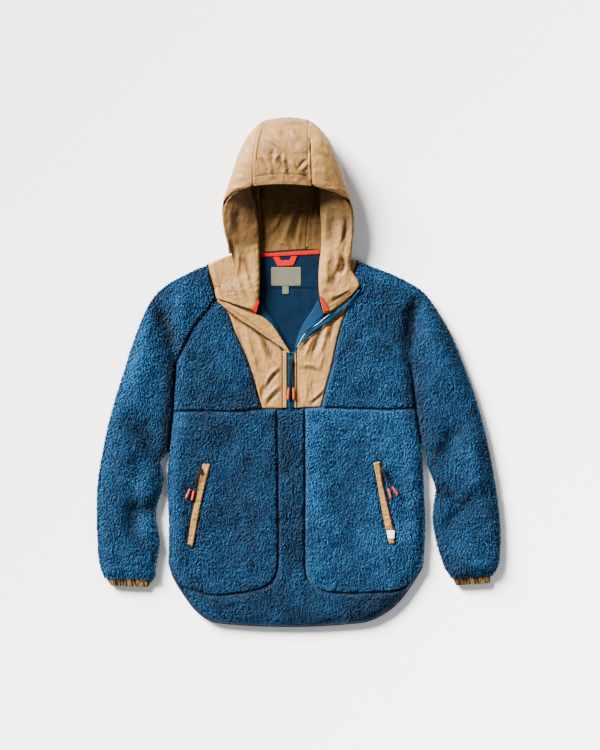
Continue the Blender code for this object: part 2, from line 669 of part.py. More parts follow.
def hood_side(name, rows, outward):
    """A side of the hood: from its free or upper edge out to its widest place and under."""
    grid = []
    for row in map(Side._make, rows_between(rows, 2)):
        top = (row.x_top, row.y_top, row.z_top)
        if row.y_top > BRIM_Y:
            x_seam, z_seam = strip_edge(row.y_top, outward, True)
            top = (x_seam + outward * HOOD_SEAM_GAP, row.y_top, z_seam)
        wide = (row.x_wide, row.y_top * 0.7 + row.y_low * 0.3, row.z_wide)
        x_seam, z_seam = strip_edge(row.y_low, outward, False)
        foot_x = row.x_wide + 0.42 * (x_seam - row.x_wide)
        foot = (foot_x, row.y_top * 0.3 + row.y_low * 0.7, z_seam)
        low = (x_seam + outward * HOOD_SEAM_GAP, row.y_low, z_seam)
        line = bend(top, (row.x_wide, row.y_top, top[2]), wide, 4)
        line += bend(wide, (row.x_wide, wide[1], foot[2]), foot, 4)
        line += [foot, tuple((a + b) / 2 for a, b in zip(foot, low)), low]
        grid.append(line)
    wall(name, grid, HOOD_WALL, TAN_NYLON)


def collar_front(name, rows, outward):
    """A turned-out front: its outer edge, up over the roll, and down to the back."""
    grid = []
    for number, row in enumerate(map(Collar._make, rows_between(rows, 2))):
        out = (row.x_out, row.y_out, row.z_out)
        foot = (row.x_roll, row.y_roll, row.z_foot)
        crest = (row.x_roll + outward * COLLAR_CREST_WIDTH, row.y_roll, row.z_roll + COLLAR_CREST_RISE)
        middle = tuple((a + b) / 2 for a, b in zip(out, crest))
        high = max(row.z_out, row.z_roll) + COLLAR_SWELL
        lift = COLLAR_WAVE * math.sin(1.9 * number)
        brow = (row.x_roll - outward * COLLAR_SWELL, row.y_roll, row.z_roll + COLLAR_CREST_RISE / 2)
        drop = (row.x_roll, row.y_roll, row.z_roll - COLLAR_ROLL_DROP)
        line = bend(out, (middle[0], middle[1], (middle[2] + high) / 2 + lift), crest, 4)
        line += bend(crest, brow, drop, 3)
        line += [drop, tuple((a + b) / 2 for a, b in zip(drop, foot)), foot]
        grid.append(line)
    wall(name, grid, BAND_WALL, TAN_NYLON)


def band(name, rows, thickness, colour, parts=2, columns=3, swell=0.8):
    grid = []
    for row in map(Band._make, rows_between(rows, parts)):
        line = []
        for part in range(columns):
            share = part / (columns - 1)
            line.append((
                row.x0 + (row.x1 - row.x0) * share,
                row.y0 + (row.y1 - row.y0) * share,
                row.z0 + (row.z1 - row.z0) * share + swell * math.sin(math.pi * share),
            ))
        grid.append(line)
    wall(name, grid, thickness, colour)


def split_hem():
    """The fleece's edge along the hem, in the three runs that the pocket panels' edges make."""
    closed = [*edge("hem"), *edge("-side_low_right"), *edge("underarm_right")]
    closed += [(0.0, -141.0), *edge("side_low_left")]
    line = inset(joined([closed]), BINDING_WIDTH + SEAM_GAP / 2)
    line = line[:len(edge("hem"))]
    line[0] = (EDGES["side_low_left"][-1][0], line[0][1])
    line[-1] = (EDGES["side_low_right"][-1][0], line[-1][1])
    left_end = EDGES["pocket_edge_left"][-1]
    right_end = EDGES["pocket_edge_right"][-1]
    left = min(range(len(line)), key=lambda index: math.dist(line[index], left_end))
    right = min(range(len(line)), key=lambda index: math.dist(line[index], right_end))
    EDGES["pocket_edge_left"][-1] = line[left]
    EDGES["pocket_edge_right"][-1] = line[right]
    return line[:left + 1], line[left:right + 1], line[right:]


def body_back(hem_inner):
    side_left = edge("side_low_left")[:-1] + [hem_inner[0]]
    side_right = edge("side_low_right")[:-1] + [hem_inner[-1]]
    outline = joined([
        edge("back_neck"), edge("shoulder_right"), edge("back_raglan_right"), side_right,
        hem_inner[::-1], side_left[::-1], edge("-back_raglan_left"), edge("-shoulder_left"),
    ])
    open_edges = [side_left, side_right, edge("shoulder_left"), edge("shoulder_right")]
    slab("back", outline, lower_face(open_edges), level(BACK_TOP), BLUE_FLEECE, rings=(),
         step=2 * INSIDE_STEP, low_rings=(EDGE_ROLL,))


def sleeve_back(side):
    outer, inner, end = (edge(f"sleeve_{part}_{side}") for part in ("outer", "inner", "end"))
    outline = joined([outer, end, inner, edge(f"underarm_{side}"), edge(f"-back_raglan_{side}")])
    slab(f"sleeve_back_{side}", outline, lower_face([outer, inner]), level(BACK_TOP), BLUE_FLEECE,
         rings=(), step=2 * INSIDE_STEP, low_rings=(EDGE_ROLL,))


def sleeve_front(side):
    name = f"sleeve_front_{side}"
    outer, inner, end = (edge(f"sleeve_{part}_{side}") for part in ("outer", "inner", "end"))
    body_side = [edge(f"side_armpit_{side}")[::-1], edge(f"side_high_{side}")[::-1]]
    raglan, inset_edge = edge(f"-raglan_{side}"), edge(f"-inset_high_{side}")
    outline = joined([outer, end, inner, edge(f"underarm_{side}"), *body_side, raglan, inset_edge])
    top = upper_face(name, [outer, inner, end, *body_side], [raglan, inset_edge], fullness=SLEEVE_FULLNESS)
    away = [outer, inner, end, *body_side]

    def low(place):
        distance = min(distance_to(place, line) for line in away)
        return FRONT_LOW + 1.5 * rounded(distance, 6 * EDGE_ROLL)

    slab(name, outline, low, top, BLUE_FLEECE, kept=trough_kept(name))


def chest_panel(side):
    name = f"chest_{side}"
    raglan, side_edge = edge(f"raglan_{side}"), edge(f"side_high_{side}")
    seam, inset_edge = edge(f"chest_seam_{side}"), edge(f"inset_low_{side}")
    outline = joined([raglan, side_edge, seam, inset_edge[::-1]] if side == "left"
                     else [raglan, side_edge, seam[::-1], inset_edge[::-1]])
    top = upper_face(name, [side_edge], [raglan, seam, inset_edge])
    slab(name, outline, level(FRONT_LOW), top, BLUE_FLEECE)


def pocket_panel(side, hem_run, welt):
    name = f"pocket_panel_{side}"
    seam = edge("chest_seam_left") + edge("chest_seam_inset_left")
    if side == "right":
        seam = (edge("chest_seam_inset_right") + edge("chest_seam_right"))[::-1]
        hem_run = hem_run[::-1]
    armpit = edge(f"side_armpit_{side}")
    side_edge = edge(f"side_low_{side}")[:-1] + [hem_run[0]]
    inner = edge(f"pocket_edge_{side}")
    outline = joined([armpit, side_edge, hem_run, inner[::-1], seam[::-1]])
    bed = welt_outline(welt)
    top = upper_face(name, [armpit, side_edge, hem_run], [seam, inner], beds=[bed])
    loops = [grown(bed, WELT_BED_MARGIN), grown(bed, WELT_BED_MARGIN + WELT_BED_SLOPE)]
    slab(name, outline, level(FRONT_LOW), top, BLUE_FLEECE, loops=loops)


def front_middle(hem_run):
    left, right = edge("pocket_edge_left"), edge("pocket_edge_right")
    seam = edge("chest_seam_middle")
    outline = joined([seam, right, hem_run[::-1], left[::-1]])
    top = upper_face("front_middle", [hem_run], [left, right, seam])
    slab("front_middle", outline, level(FRONT_LOW), top, BLUE_FLEECE)


def chest_inset(side):
    name = f"inset_{side}"
    outer = joined([edge(f"inset_high_{side}"), edge(f"inset_low_{side}")])
    shoulder = edge(f"shoulder_{side}")
    if side == "left":
        front = curve_through(INSET_FRONT_LEFT, OUTLINE_STEP)
        neck = curve_through(INSET_NECK_LEFT, OUTLINE_STEP)
        x_zip = ZIP_MIDDLE - ZIP_HALF_WIDTH - ZIP_STRIP_WIDTH
        front[-1] = (x_zip, ZIP_TOP_Y)
        zip_side = [(x_zip, y) for y in (20, 0, -20, -40, -73)]
        outline = joined([neck, front, zip_side, outer[::-1], shoulder[::-1]])
    else:
        front = curve_through(INSET_FRONT_RIGHT, OUTLINE_STEP)
        neck = curve_through(INSET_NECK_RIGHT, OUTLINE_STEP)
        x_zip = ZIP_MIDDLE + ZIP_HALF_WIDTH + ZIP_STRIP_WIDTH / 2
        front[0] = (x_zip, ZIP_TOP_Y)
        zip_side = [(x_zip, y) for y in (-72, -40, -20, 0, 20)]
        outline = joined([zip_side, front, neck, shoulder, outer])
    base = upper_face(name, [], [outer], height=NYLON_TOP)
    border = outline + outline[:1]

    def top(place):
        return base(place) - 1.2 + 1.2 * rounded(distance_to(place, border), 22.0)

    slab(name, outline, level(FRONT_LOW), top, TAN_NYLON, rings=(), step=30.0, kept=trough_kept(name))


def front_zip():
    """The closed lower part of the front zip: its tape, and the nylon strips beside it."""
    left, right = ZIP_MIDDLE - ZIP_HALF_WIDTH, ZIP_MIDDLE + ZIP_HALF_WIDTH
    top, bottom = ZIP_TOP_Y + 1.0, ZIP_BOTTOM_Y
    tape_top = ZIP_TOP_Y - 1.0
    tape = [(left, bottom), (right, bottom), (right, tape_top), (left, tape_top)]
    slab("front_zip", tape, level(FRONT_LOW), level(ZIP_TAPE_TOP), ZIP_TAPE, rings=())
    strip = [(left - ZIP_STRIP_WIDTH, bottom), (left, bottom), (left, top), (left - ZIP_STRIP_WIDTH, top)]
    slab("zip_strip_left", strip, level(FRONT_LOW), level(ZIP_STRIP_TOP), TAN_NYLON, rings=())
    strip = [(right, bottom), (right + ZIP_STRIP_WIDTH / 2, bottom), (right + ZIP_STRIP_WIDTH / 2, top),
             (right, top)]
    slab("zip_strip_right", strip, level(FRONT_LOW), level(ZIP_STRIP_TOP), TAN_NYLON, rings=())


def hem_binding(name, low, top, hem_inner):
    outer = edge("hem")
    outline = joined([outer, hem_inner[::-1]])
    slab(name, outline, low, top, NAVY_BINDING, rings=())


def cuff(side):
    """A gathered band, pressed flat: ribbed outside, plain inside, open at its end."""
    end = EDGES[f"sleeve_end_{side}"]
    start, stop = (end[-1], end[0]) if side == "left" else (end[0], end[-1])
    hand = CUFF_HANDS[side]
    turn = math.copysign(CUFF_NARROWING, stop[0] - start[0])
    sleeve_edge = ((start[0] + turn, start[1] - 2 * SEAM_GAP), (stop[0] - turn, stop[1] - 2 * SEAM_GAP))
    around = 4 * CUFF_GATHERS
    levels = CUFF_LEVELS
    points = []
    for layer in (0, 1):
        for step in range(levels):
            share = step / (levels - 1)
            a = Vector(sleeve_edge[0]).lerp(Vector(hand[0]), share)
            b = Vector(sleeve_edge[1]).lerp(Vector(hand[1]), share)
            centre, reach = (a + b) / 2, (b - a) / 2
            for index in range(around):
                angle = 2 * math.pi * index / around
                ripple = CUFF_GATHER_DEPTH * math.cos(CUFF_GATHERS * angle) * (1.0 - 0.3 * share)
                inwards = CUFF_WALL if layer else -ripple
                half_width = reach.length - (CUFF_WALL if layer else 0.0)
                flat = math.copysign(abs(math.cos(angle)) ** 0.8, math.cos(angle))
                high = math.copysign(abs(math.sin(angle)) ** 0.45, math.sin(angle))
                place = centre + reach.normalized() * (half_width * flat)
                points.append((place.x, place.y, CUFF_MIDDLE_Z + (CUFF_HALF_HEIGHT - inwards) * high))
    faces = []
    for layer in (0, 1):
        for step in range(levels - 1):
            for index in range(around):
                after = (index + 1) % around
                a = (layer * levels + step) * around
                faces.append((a + index, a + after, a + around + after, a + around + index))
    for step in (0, levels - 1):
        for index in range(around):
            after = (index + 1) % around
            a, b = step * around, (levels + step) * around
            faces.append((a + index, a + after, b + after, b + index))
    add_mesh(f"cuff_{side}", points, faces, TAN_NYLON)


def pocket(side, rows):
    """The welt over its bed in the fleece, with the zip along the edge that faces the side seam."""
    left = curve_through([(row.x_left, row.y_left) for row in rows], FINE_STEP)
    right = curve_through([(row.x_right, row.y_right) for row in rows], FINE_STEP)
    count = min(len(left), len(right))
    left = curve_through(left, sum(map(math.dist, left, left[1:])) / (count - 1))[:count]
    right = curve_through(right, sum(map(math.dist, right, right[1:])) / (count - 1))[:count]
    zip_side, other = (left, right) if side == "left" else (right, left)
    parting = []
    for a, b in zip(zip_side, other):
        share = POCKET_ZIP_WIDTH / math.dist(a, b)
        parting.append((a[0] + (b[0] - a[0]) * share, a[1] + (b[1] - a[1]) * share))
    welt = joined([parting, other[::-1]])
    border = welt + welt[:1]

    def top(place):
        return WELT_TOP - 1.2 + 1.2 * rounded(distance_to(place, border), 5.0)

    slab(f"pocket_welt_{side}", welt, level(WELT_BED), top, TAN_NYLON, rings=(4.0,), step=200.0)
    slab(f"pocket_zip_{side}", joined([zip_side, parting[::-1]]), level(WELT_BED),
         level(WELT_TOP - 2.2), BLACK_ZIP, rings=())


def flat_piece(name, outline, low, thickness, colour):
    slab(name, outline, level(low), level(low + thickness), colour, rings=(), step=400.0)


def neck_pieces():
    flat_piece("lining_yoke", LINING_YOKE, LINING_LOW, LINING_TOP - LINING_LOW, BLUE_LINING)
    flat_piece("lining_back", LINING_BACK, LINING_LOW, LINING_TOP - LINING_LOW, BLUE_LINING)
    flat_piece("neck_tape", NECK_TAPE, 10.5, TAPE_WALL, CORAL_TAPE)
    flat_piece("hanger_loop", HANGER_OUTER + HANGER_SLOT, 10.5, TAPE_WALL + 0.3, CORAL_TAPE)
    flat_piece("neck_label", NECK_LABEL, 10.5, 0.8, GREIGE_LABEL)
    flat_piece("size_label", SIZE_LABEL, 10.5, 0.6, GREIGE_LABEL)
    flat_piece("pocket_label", POCKET_LABEL, WELT_TOP + 0.3, 0.6, WHITE_LABEL)
    band("lining_edge_left", LINING_EDGE_LEFT, TAPE_WALL, BLUE_LINING, swell=0.0)
    band("lining_edge_right", LINING_EDGE_RIGHT, TAPE_WALL, BLUE_LINING, swell=0.0)
    band("tape_end_left", TAPE_END_LEFT, TAPE_WALL, CORAL_TAPE, swell=0.0)
    band("tape_end_right", TAPE_END_RIGHT, TAPE_WALL, CORAL_TAPE, swell=0.0)
    band("placket_left", PLACKET_LEFT, BAND_WALL, TAN_NYLON)
    band("placket_right", PLACKET_RIGHT, BAND_WALL, ZIP_TAPE, swell=0.0)


def box(name, size, middle, turn, colour, bevel, parent=None):
    """A box with rounded edges, turned about the vertical."""
    shape = bmesh.new()
    bmesh.ops.create_cube(shape, size=1.0)
    bmesh.ops.scale(shape, vec=Vector(size) * MM, verts=shape.verts)
    mesh = bpy.data.meshes.new(name)
    shape.to_mesh(mesh)
    shape.free()
    obj = add_object(name, mesh, colour)
    rounding = obj.modifiers.new("rounding", "BEVEL")
    rounding.width = bevel * MM
    rounding.segments = 2
    obj.rotation_euler[2] = turn
    obj.location = Vector(middle) * MM
    if parent:
        obj.parent = parent
        obj.location -= parent.location
    return obj


def slider(pull, start, heading, turn):
    """A slider's body with its two ears, joined into one."""
    middle = start - heading
    middle.z = pull.z - SLIDER_CLEARANCE - SLIDER_SIZE[2] / 2
    body = box(f"slider_{pull.name}", SLIDER_SIZE, middle, turn, GREY_METAL, 1.2)
    across = Vector((-heading.y, heading.x, 0))
    for side in (-1, 1):
        place = start + across * (side * (TAB_WIDTH + SLIDER_EARS[1] + 2 * SEAM_GAP) / 2)
        place.z = pull.z - SLIDER_CLEARANCE + SLIDER_EARS[2] / 2 - 0.4
        ear = box(f"ear_{pull.name}_{side}", SLIDER_EARS, place, turn, GREY_METAL, 0.4)
        ear.hide_render = True
        ear.display_type = "WIRE"
        JACKET.objects.unlink(ear)
        HELPERS.objects.link(ear)
        union = body.modifiers.new("ear", "BOOLEAN")
        union.operation = "UNION"
        union.object = ear


def pull_cord(pull, pivot, start, heading, tips, headings):
    """The looped cord, from one moulded end through the tab's eye to the other."""
    reach = pull.tab_length - TAB_BEHIND_AXIS + SEAM_GAP + CORD_RADIUS
    eye = start + heading * reach
    across = Vector((-heading.y, heading.x, 0)) * CORD_LOOP_HALF_WIDTH
    if (tips[0] - eye).dot(across) < 0:
        across = -across
    knots = [
        tips[0] - headings[0] * SEAM_GAP, tips[0] - headings[0] * 6,
        eye + across + heading * 3, eye, eye - across + heading * 3,
        tips[1] - headings[1] * 6, tips[1] - headings[1] * SEAM_GAP,
    ]
    places = curve_through([tuple(knot) for knot in knots], 3.0)
    curve = bpy.data.curves.new(f"pull_cord_{pull.name}", "CURVE")
    curve.dimensions = "3D"
    curve.bevel_depth = CORD_RADIUS * MM
    curve.bevel_resolution = 2
    curve.use_fill_caps = True
    line = curve.splines.new("POLY")
    line.points.add(len(places) - 1)
    for point, place in zip(line.points, places):
        point.co = (*((Vector(place) - start) * MM), 1.0)
    cord = add_object(f"pull_cord_{pull.name}", curve, DARK_CORD)
    cord.parent = pivot


def cord_end(name, tip, facing, length, pivot, start):
    """A moulded end, a little wider where it is held."""
    shape = bmesh.new()
    bmesh.ops.create_cone(shape, cap_ends=True, segments=10, radius1=TIP_RADII[0] * MM,
                          radius2=TIP_RADII[1] * MM, depth=length * MM)
    mesh = bpy.data.meshes.new(name)
    shape.to_mesh(mesh)
    shape.free()
    end = add_object(name, mesh, CORAL_TIP)
    end.rotation_euler = (-facing).to_track_quat("Z", "Y").to_euler()
    end.parent = pivot
    end.location = (tip + facing * (length / 2) - start) * MM


def zip_pull(pull):
    """A slider, and the tab, cord and two moulded ends that swing on it."""
    heading = Vector((pull.heading_x, pull.heading_y, 0)).normalized()
    turn = math.atan2(heading.y, heading.x)
    start = Vector((pull.x, pull.y, pull.z))
    pivot = bpy.data.objects.new(f"pivot_{pull.name}", None)
    pivot.location = start * MM
    JACKET.objects.link(pivot)
    slider(pull, start, heading, turn)
    tab_middle = start + heading * (pull.tab_length / 2 - TAB_BEHIND_AXIS)
    box(f"pull_tab_{pull.name}", (pull.tab_length, TAB_WIDTH, TAB_THICKNESS), tab_middle, turn,
        GREY_METAL, 0.5, pivot)
    tips = [Vector((tip.x, tip.y, min(pull.z, TIP_HEIGHT))) for tip in pull.tips]
    headings = [Vector((tip.heading_x, tip.heading_y, 0)).normalized() for tip in pull.tips]
    pull_cord(pull, pivot, start, heading, tips, headings)
    for number, (tip, facing) in enumerate(zip(tips, headings), 1):
        cord_end(f"cord_end_{pull.name}_{number}", tip, facing, pull.tip_length, pivot, start)


def build():
    left_run, middle_run, right_run = split_hem()
    hem_inner = left_run + middle_run[1:] + right_run[1:]
    body_back(hem_inner)
    for side in ("left", "right"):
        sleeve_back(side)
        sleeve_front(side)
        chest_panel(side)
        chest_inset(side)
        cuff(side)
    pocket_panel("left", left_run, WELT_LEFT)
    pocket_panel("right", right_run, WELT_RIGHT)
    front_middle(middle_run)
    pocket("left", WELT_LEFT)
    pocket("right", WELT_RIGHT)
    front_zip()
    hem_binding("hem_binding_back", level(1.0), level(8.0), hem_inner)
    hem_binding("hem_binding_front", level(FRONT_LOW), level(15.0), hem_inner)
    hood_strip()
    hood_side("hood_side_left", HOOD_SIDE_LEFT, -1)
    hood_side("hood_side_right", HOOD_SIDE_RIGHT, 1)
    collar_front("collar_left", COLLAR_LEFT, -1)
    collar_front("collar_right", COLLAR_RIGHT, 1)
    neck_pieces()
    for pull in PULLS:
        zip_pull(pull)


clear_scene()
JACKET = bpy.data.collections.new("hooded_fleece_jacket")
bpy.context.scene.collection.children.link(JACKET)
HELPERS = bpy.data.collections.new("helpers")
bpy.context.scene.collection.children.link(HELPERS)
build()
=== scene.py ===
"""The looks of a hooded half-zip fleece jacket that lies flat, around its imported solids.

Tables are in millimetres, in the frame of the solids: +X to the right of someone who looks down at
the jacket, +Y to the hood's crown, +Z up. Outlines come from the solids themselves.
"""

import json
import math
from collections import namedtuple

import bmesh
import bpy
import numpy as np
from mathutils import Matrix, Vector, geometry
from mathutils.bvhtree import BVHTree


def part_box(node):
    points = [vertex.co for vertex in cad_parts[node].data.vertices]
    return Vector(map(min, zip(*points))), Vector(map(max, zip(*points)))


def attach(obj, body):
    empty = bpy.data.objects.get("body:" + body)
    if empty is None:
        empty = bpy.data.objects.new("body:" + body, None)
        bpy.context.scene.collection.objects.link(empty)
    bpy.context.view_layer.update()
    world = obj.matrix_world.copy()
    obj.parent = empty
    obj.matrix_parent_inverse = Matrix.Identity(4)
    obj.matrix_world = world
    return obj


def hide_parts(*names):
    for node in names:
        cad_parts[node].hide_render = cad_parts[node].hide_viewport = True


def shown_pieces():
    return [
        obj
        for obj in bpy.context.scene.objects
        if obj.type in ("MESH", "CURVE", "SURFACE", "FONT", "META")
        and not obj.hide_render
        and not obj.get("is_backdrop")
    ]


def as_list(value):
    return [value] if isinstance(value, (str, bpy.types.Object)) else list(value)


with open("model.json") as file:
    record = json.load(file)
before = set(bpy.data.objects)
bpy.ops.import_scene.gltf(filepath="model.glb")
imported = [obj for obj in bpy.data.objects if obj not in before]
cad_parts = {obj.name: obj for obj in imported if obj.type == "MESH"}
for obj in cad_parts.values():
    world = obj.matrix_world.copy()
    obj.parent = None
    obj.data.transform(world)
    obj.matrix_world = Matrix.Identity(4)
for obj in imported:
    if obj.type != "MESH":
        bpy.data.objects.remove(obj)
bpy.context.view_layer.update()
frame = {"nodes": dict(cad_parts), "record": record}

MM = 0.001
NODES = frame["nodes"]

# ---------------------------------------------------------------- camera, light and floor
PIXEL = 2.0 * MM                # one pixel of the 600 x 750 frame, on the floor
FRAME_TALL = 750 * PIXEL
CAMERA_LENS = 240.0
SENSOR = 36.0
VIEW_X, VIEW_Y = 2.8 * MM, -5.6 * MM
MIDDLE_HEIGHT = 20 * MM         # the height that is drawn at exactly this scale
Light = namedtuple("Light", "name place size watts colour")
LIGHTS = [Light("key", (-14.7, 15.0, 10.9), 12.8, 76500.0, (1.0, 0.985, 0.96)),
          Light("fill", (2.6, -2.2, 3.6), 3.0, 60.0, (0.95, 0.97, 1.0))]
SKY_COLOUR, SKY_STRENGTH = (0.97, 0.985, 1.0, 1.0), 0.36
FLOOR_SIZE, FLOOR_Z = 9.0, -0.4 * MM
# Painted light on the floor: darker towards the upper left, paler towards the lower right.
FLOOR_DARK, FLOOR_PALE = (0.59, 0.59, 0.59), (0.99, 0.99, 0.99)


def look_down():
    data = bpy.data.cameras.new("camera")
    data.lens = CAMERA_LENS
    data.sensor_width = SENSOR
    data.clip_end = 50.0
    camera = bpy.data.objects.new("camera", data)
    bpy.context.scene.collection.objects.link(camera)
    camera.location = (VIEW_X, VIEW_Y, MIDDLE_HEIGHT + FRAME_TALL * CAMERA_LENS / SENSOR)
    bpy.context.scene.camera = camera


def hang_light(row):
    """A round area light that faces the middle of the jacket."""
    data = bpy.data.lights.new(row.name, "AREA")
    data.shape = "DISK"
    data.size = row.size
    data.energy = row.watts
    data.color = row.colour
    light = bpy.data.objects.new(row.name, data)
    bpy.context.scene.collection.objects.link(light)
    light.location = row.place
    light.rotation_euler = (-Vector(row.place)).to_track_quat("-Z", "Y").to_euler()


def light_and_floor():
    for row in LIGHTS:
        hang_light(row)
    world = bpy.data.worlds.new("studio")
    world.use_nodes = True
    background = world.node_tree.nodes["Background"]
    background.inputs["Color"].default_value = SKY_COLOUR
    background.inputs["Strength"].default_value = SKY_STRENGTH
    bpy.context.scene.world = world
    bpy.ops.mesh.primitive_plane_add(size=FLOOR_SIZE, location=(0.0, 0.0, FLOOR_Z))
    floor = bpy.context.object
    floor.name = "floor"
    floor.data.materials.append(floor_material())
    floor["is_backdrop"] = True


# ---------------------------------------------------------------- materials
class Shading:
    """A material under construction: helpers that add nodes and join them."""

    def __init__(self, name, **settings):
        self.material = bpy.data.materials.new(name)
        self.material.use_nodes = True
        self.tree = self.material.node_tree
        self.shader = self.tree.nodes["Principled BSDF"]
        for socket, value in settings.items():
            self.shader.inputs[socket.replace("_", " ")].default_value = value
        self.place = self.add("ShaderNodeTexCoord").outputs["Object"]

    def add(self, kind, **settings):
        node = self.tree.nodes.new(kind)
        for key, value in settings.items():
            setattr(node, key, value)
        return node

    def link(self, source, target):
        self.tree.links.new(source, target)

    def noise(self, scale, detail=3.0, roughness=0.6, distortion=0.0, stretch=None):
        node = self.add("ShaderNodeTexNoise")
        node.inputs["Scale"].default_value = scale
        node.inputs["Detail"].default_value = detail
        node.inputs["Roughness"].default_value = roughness
        node.inputs["Distortion"].default_value = distortion
        place = self.place
        if stretch:
            mapping = self.add("ShaderNodeMapping")
            mapping.inputs["Scale"].default_value = stretch
            self.link(self.place, mapping.inputs["Vector"])
            place = mapping.outputs["Vector"]
        self.link(place, node.inputs["Vector"])
        return node.outputs["Fac"]

    def wave(self, scale, direction, distortion=0.0):
        node = self.add("ShaderNodeTexWave", wave_type="BANDS", bands_direction=direction)
        node.inputs["Scale"].default_value = scale
        node.inputs["Distortion"].default_value = distortion
        self.link(self.place, node.inputs["Vector"])
        return node.outputs["Fac"]

    def ramp(self, source, *stops):
        node = self.add("ShaderNodeValToRGB")
        elements = node.color_ramp.elements
        while len(elements) < len(stops):
            elements.new(0.5)
        for element, (at, colour) in zip(elements, stops):
            element.position = at
            element.color = (*colour, 1.0)
        self.link(source, node.inputs["Fac"])
        return node.outputs["Color"]

    def mixed(self, share, one, two):
        """A colour that turns into another plain colour by a share."""
        node = self.add("ShaderNodeMix", data_type="RGBA")
        self.link(share, node.inputs[0])
        self.link(one, node.inputs[6])
        node.inputs[7].default_value = (*two, 1.0)
        return node.outputs[2]

    def maths(self, operation, one, two):
        node = self.add("ShaderNodeMath", operation=operation)
        for socket, value in zip(node.inputs, (one, two)):
            if isinstance(value, (int, float)):
                socket.default_value = value
            else:
                self.link(value, socket)
        return node.outputs["Value"]

    def bump(self, height, strength, distance, before=None):
        node = self.add("ShaderNodeBump")
        node.inputs["Strength"].default_value = strength
        node.inputs["Distance"].default_value = distance
        self.link(height, node.inputs["Height"])
        if before is not None:
            self.link(before, node.inputs["Normal"])
        return node.outputs["Normal"]

    def finish(self, colour=None, normal=None, roughness=None):
        if colour is not None:
            self.link(colour, self.shader.inputs["Base Color"])
        if normal is not None:
            self.link(normal, self.shader.inputs["Normal"])
        if roughness is not None:
            self.link(roughness, self.shader.inputs["Roughness"])
        return self.material


def floor_material():
    """A pale sheet with painted light: a little lighter towards the lower right."""
    made = Shading("floor", Roughness=0.9, Specular_IOR_Level=0.1)
    parts = made.add("ShaderNodeSeparateXYZ")
    made.link(made.place, parts.inputs["Vector"])
    slant = made.maths("SUBTRACT", parts.outputs["X"], parts.outputs["Y"])
    level = made.maths("ADD", made.maths("MULTIPLY", slant, 0.4), 0.5)
    return made.finish(made.ramp(level, (0.0, FLOOR_DARK), (1.0, FLOOR_PALE)))


# The fleece's dye with painted shade and light: its colours from the painted shade between the tufts
# to the lighter tips, and its patches: scale, detail, roughness and weight.
FLEECE_DYE_AND_SHADE = ((0.0, (0.0003, 0.0026, 0.008)), (0.35, (0.0014, 0.0136, 0.038)),
              (0.7, (0.0035, 0.0300, 0.077)), (1.0, (0.0095, 0.064, 0.146)))
FLEECE_PATCHES = ((26.0, 5.0, 0.65, 0.9), (8.0, 2.0, 0.5, 0.7), (420.0, 2.0, 0.6, 0.35))
FLEECE_SHEEN = (0.35, 0.62, 0.9, 1.0)


def fleece_material():
    """Curled pile: painted shade between the tufts and lighter at their tips, with uneven dye and wear."""
    made = Shading("fleece", Roughness=0.95, Sheen_Weight=0.12, Sheen_Roughness=0.5,
                   Sheen_Tint=FLEECE_SHEEN, Specular_IOR_Level=0.06)
    level = made.add("ShaderNodeAttribute", attribute_name="shade").outputs["Fac"]
    for scale, detail, roughness, weight in FLEECE_PATCHES:
        patch = made.maths("SUBTRACT", made.noise(scale, detail, roughness), 0.5)
        level = made.maths("ADD", level, made.maths("MULTIPLY", patch, weight))
    normal = made.bump(made.noise(900.0, 2.0, 0.7), 0.35, 0.4 * MM)
    return made.finish(made.ramp(level, *FLEECE_DYE_AND_SHADE), normal)


# Painted shade: the colour the nylon takes deep in its own folds and hollows.
TAN_IN_PAINTED_SHADE = (0.014, 0.0062, 0.0018)   # the nylon deep in its own folds


def nylon_material(name, light, dark, crinkle=1.0, gloss=0.2, rough=0.42):
    """Thin plain nylon over a little padding: a soft satin with fine crinkles."""
    made = Shading(name, Roughness=0.5, Specular_IOR_Level=gloss)
    tone = made.noise(16.0, 4.0, 0.6)
    colour = made.ramp(tone, (0.3, dark), (0.7, light))
    # The crease attribute holds painted shade: the more of it, the more the nylon takes its colour in
    # painted shade.
    crease = made.add("ShaderNodeAttribute", attribute_name="crease").outputs["Fac"]
    colour = made.mixed(crease, colour, TAN_IN_PAINTED_SHADE)
    creases = made.noise(75.0, 3.0, 0.55, 1.6, (1.0, 0.55, 1.0))
    fine = made.noise(210.0, 3.0, 0.6, 0.8)
    weave = made.maths("MULTIPLY", made.wave(520.0, "X"), made.wave(520.0, "Y"))
    normal = made.bump(creases, 0.55 * crinkle, 2.2 * MM)
    normal = made.bump(fine, 0.3 * crinkle, 0.7 * MM, normal)
    normal = made.bump(weave, 0.2, 0.15 * MM, normal)
    roughness = made.maths("ADD", made.maths("MULTIPLY", fine, 0.25), rough)
    return made.finish(colour, normal, roughness)


def woven_material(name, light, dark, across=420.0, along=420.0, roughness=0.75, relief=0.3):
    """Narrow woven goods and linings: a visible rib and slightly uneven dye."""
    made = Shading(name, Roughness=roughness, Specular_IOR_Level=0.05)
    rib = made.maths("MULTIPLY", made.wave(across, "X", 0.3), made.wave(along, "Y", 0.3))
    level = made.maths("ADD", made.maths("MULTIPLY", rib, 0.35), made.noise(45.0, 3.0, 0.6))
    colour = made.ramp(level, (0.3, dark), (0.85, light))
    normal = made.bump(rib, relief, 0.3 * MM)
    normal = made.bump(made.noise(60.0, 2.0, 0.5), 0.25, 1.2 * MM, normal)
    return made.finish(colour, normal)


def plastic_material():
    made = Shading("moulded", Roughness=0.5, Specular_IOR_Level=0.15, Coat_Weight=0.03)
    tone = made.noise(140.0, 3.0, 0.6)
    colour = made.ramp(tone, (0.25, (0.22, 0.022, 0.0002)), (0.75, (0.28, 0.031, 0.0003)))
    return made.finish(colour, made.bump(made.noise(700.0, 2.0, 0.5), 0.12, 0.2 * MM))


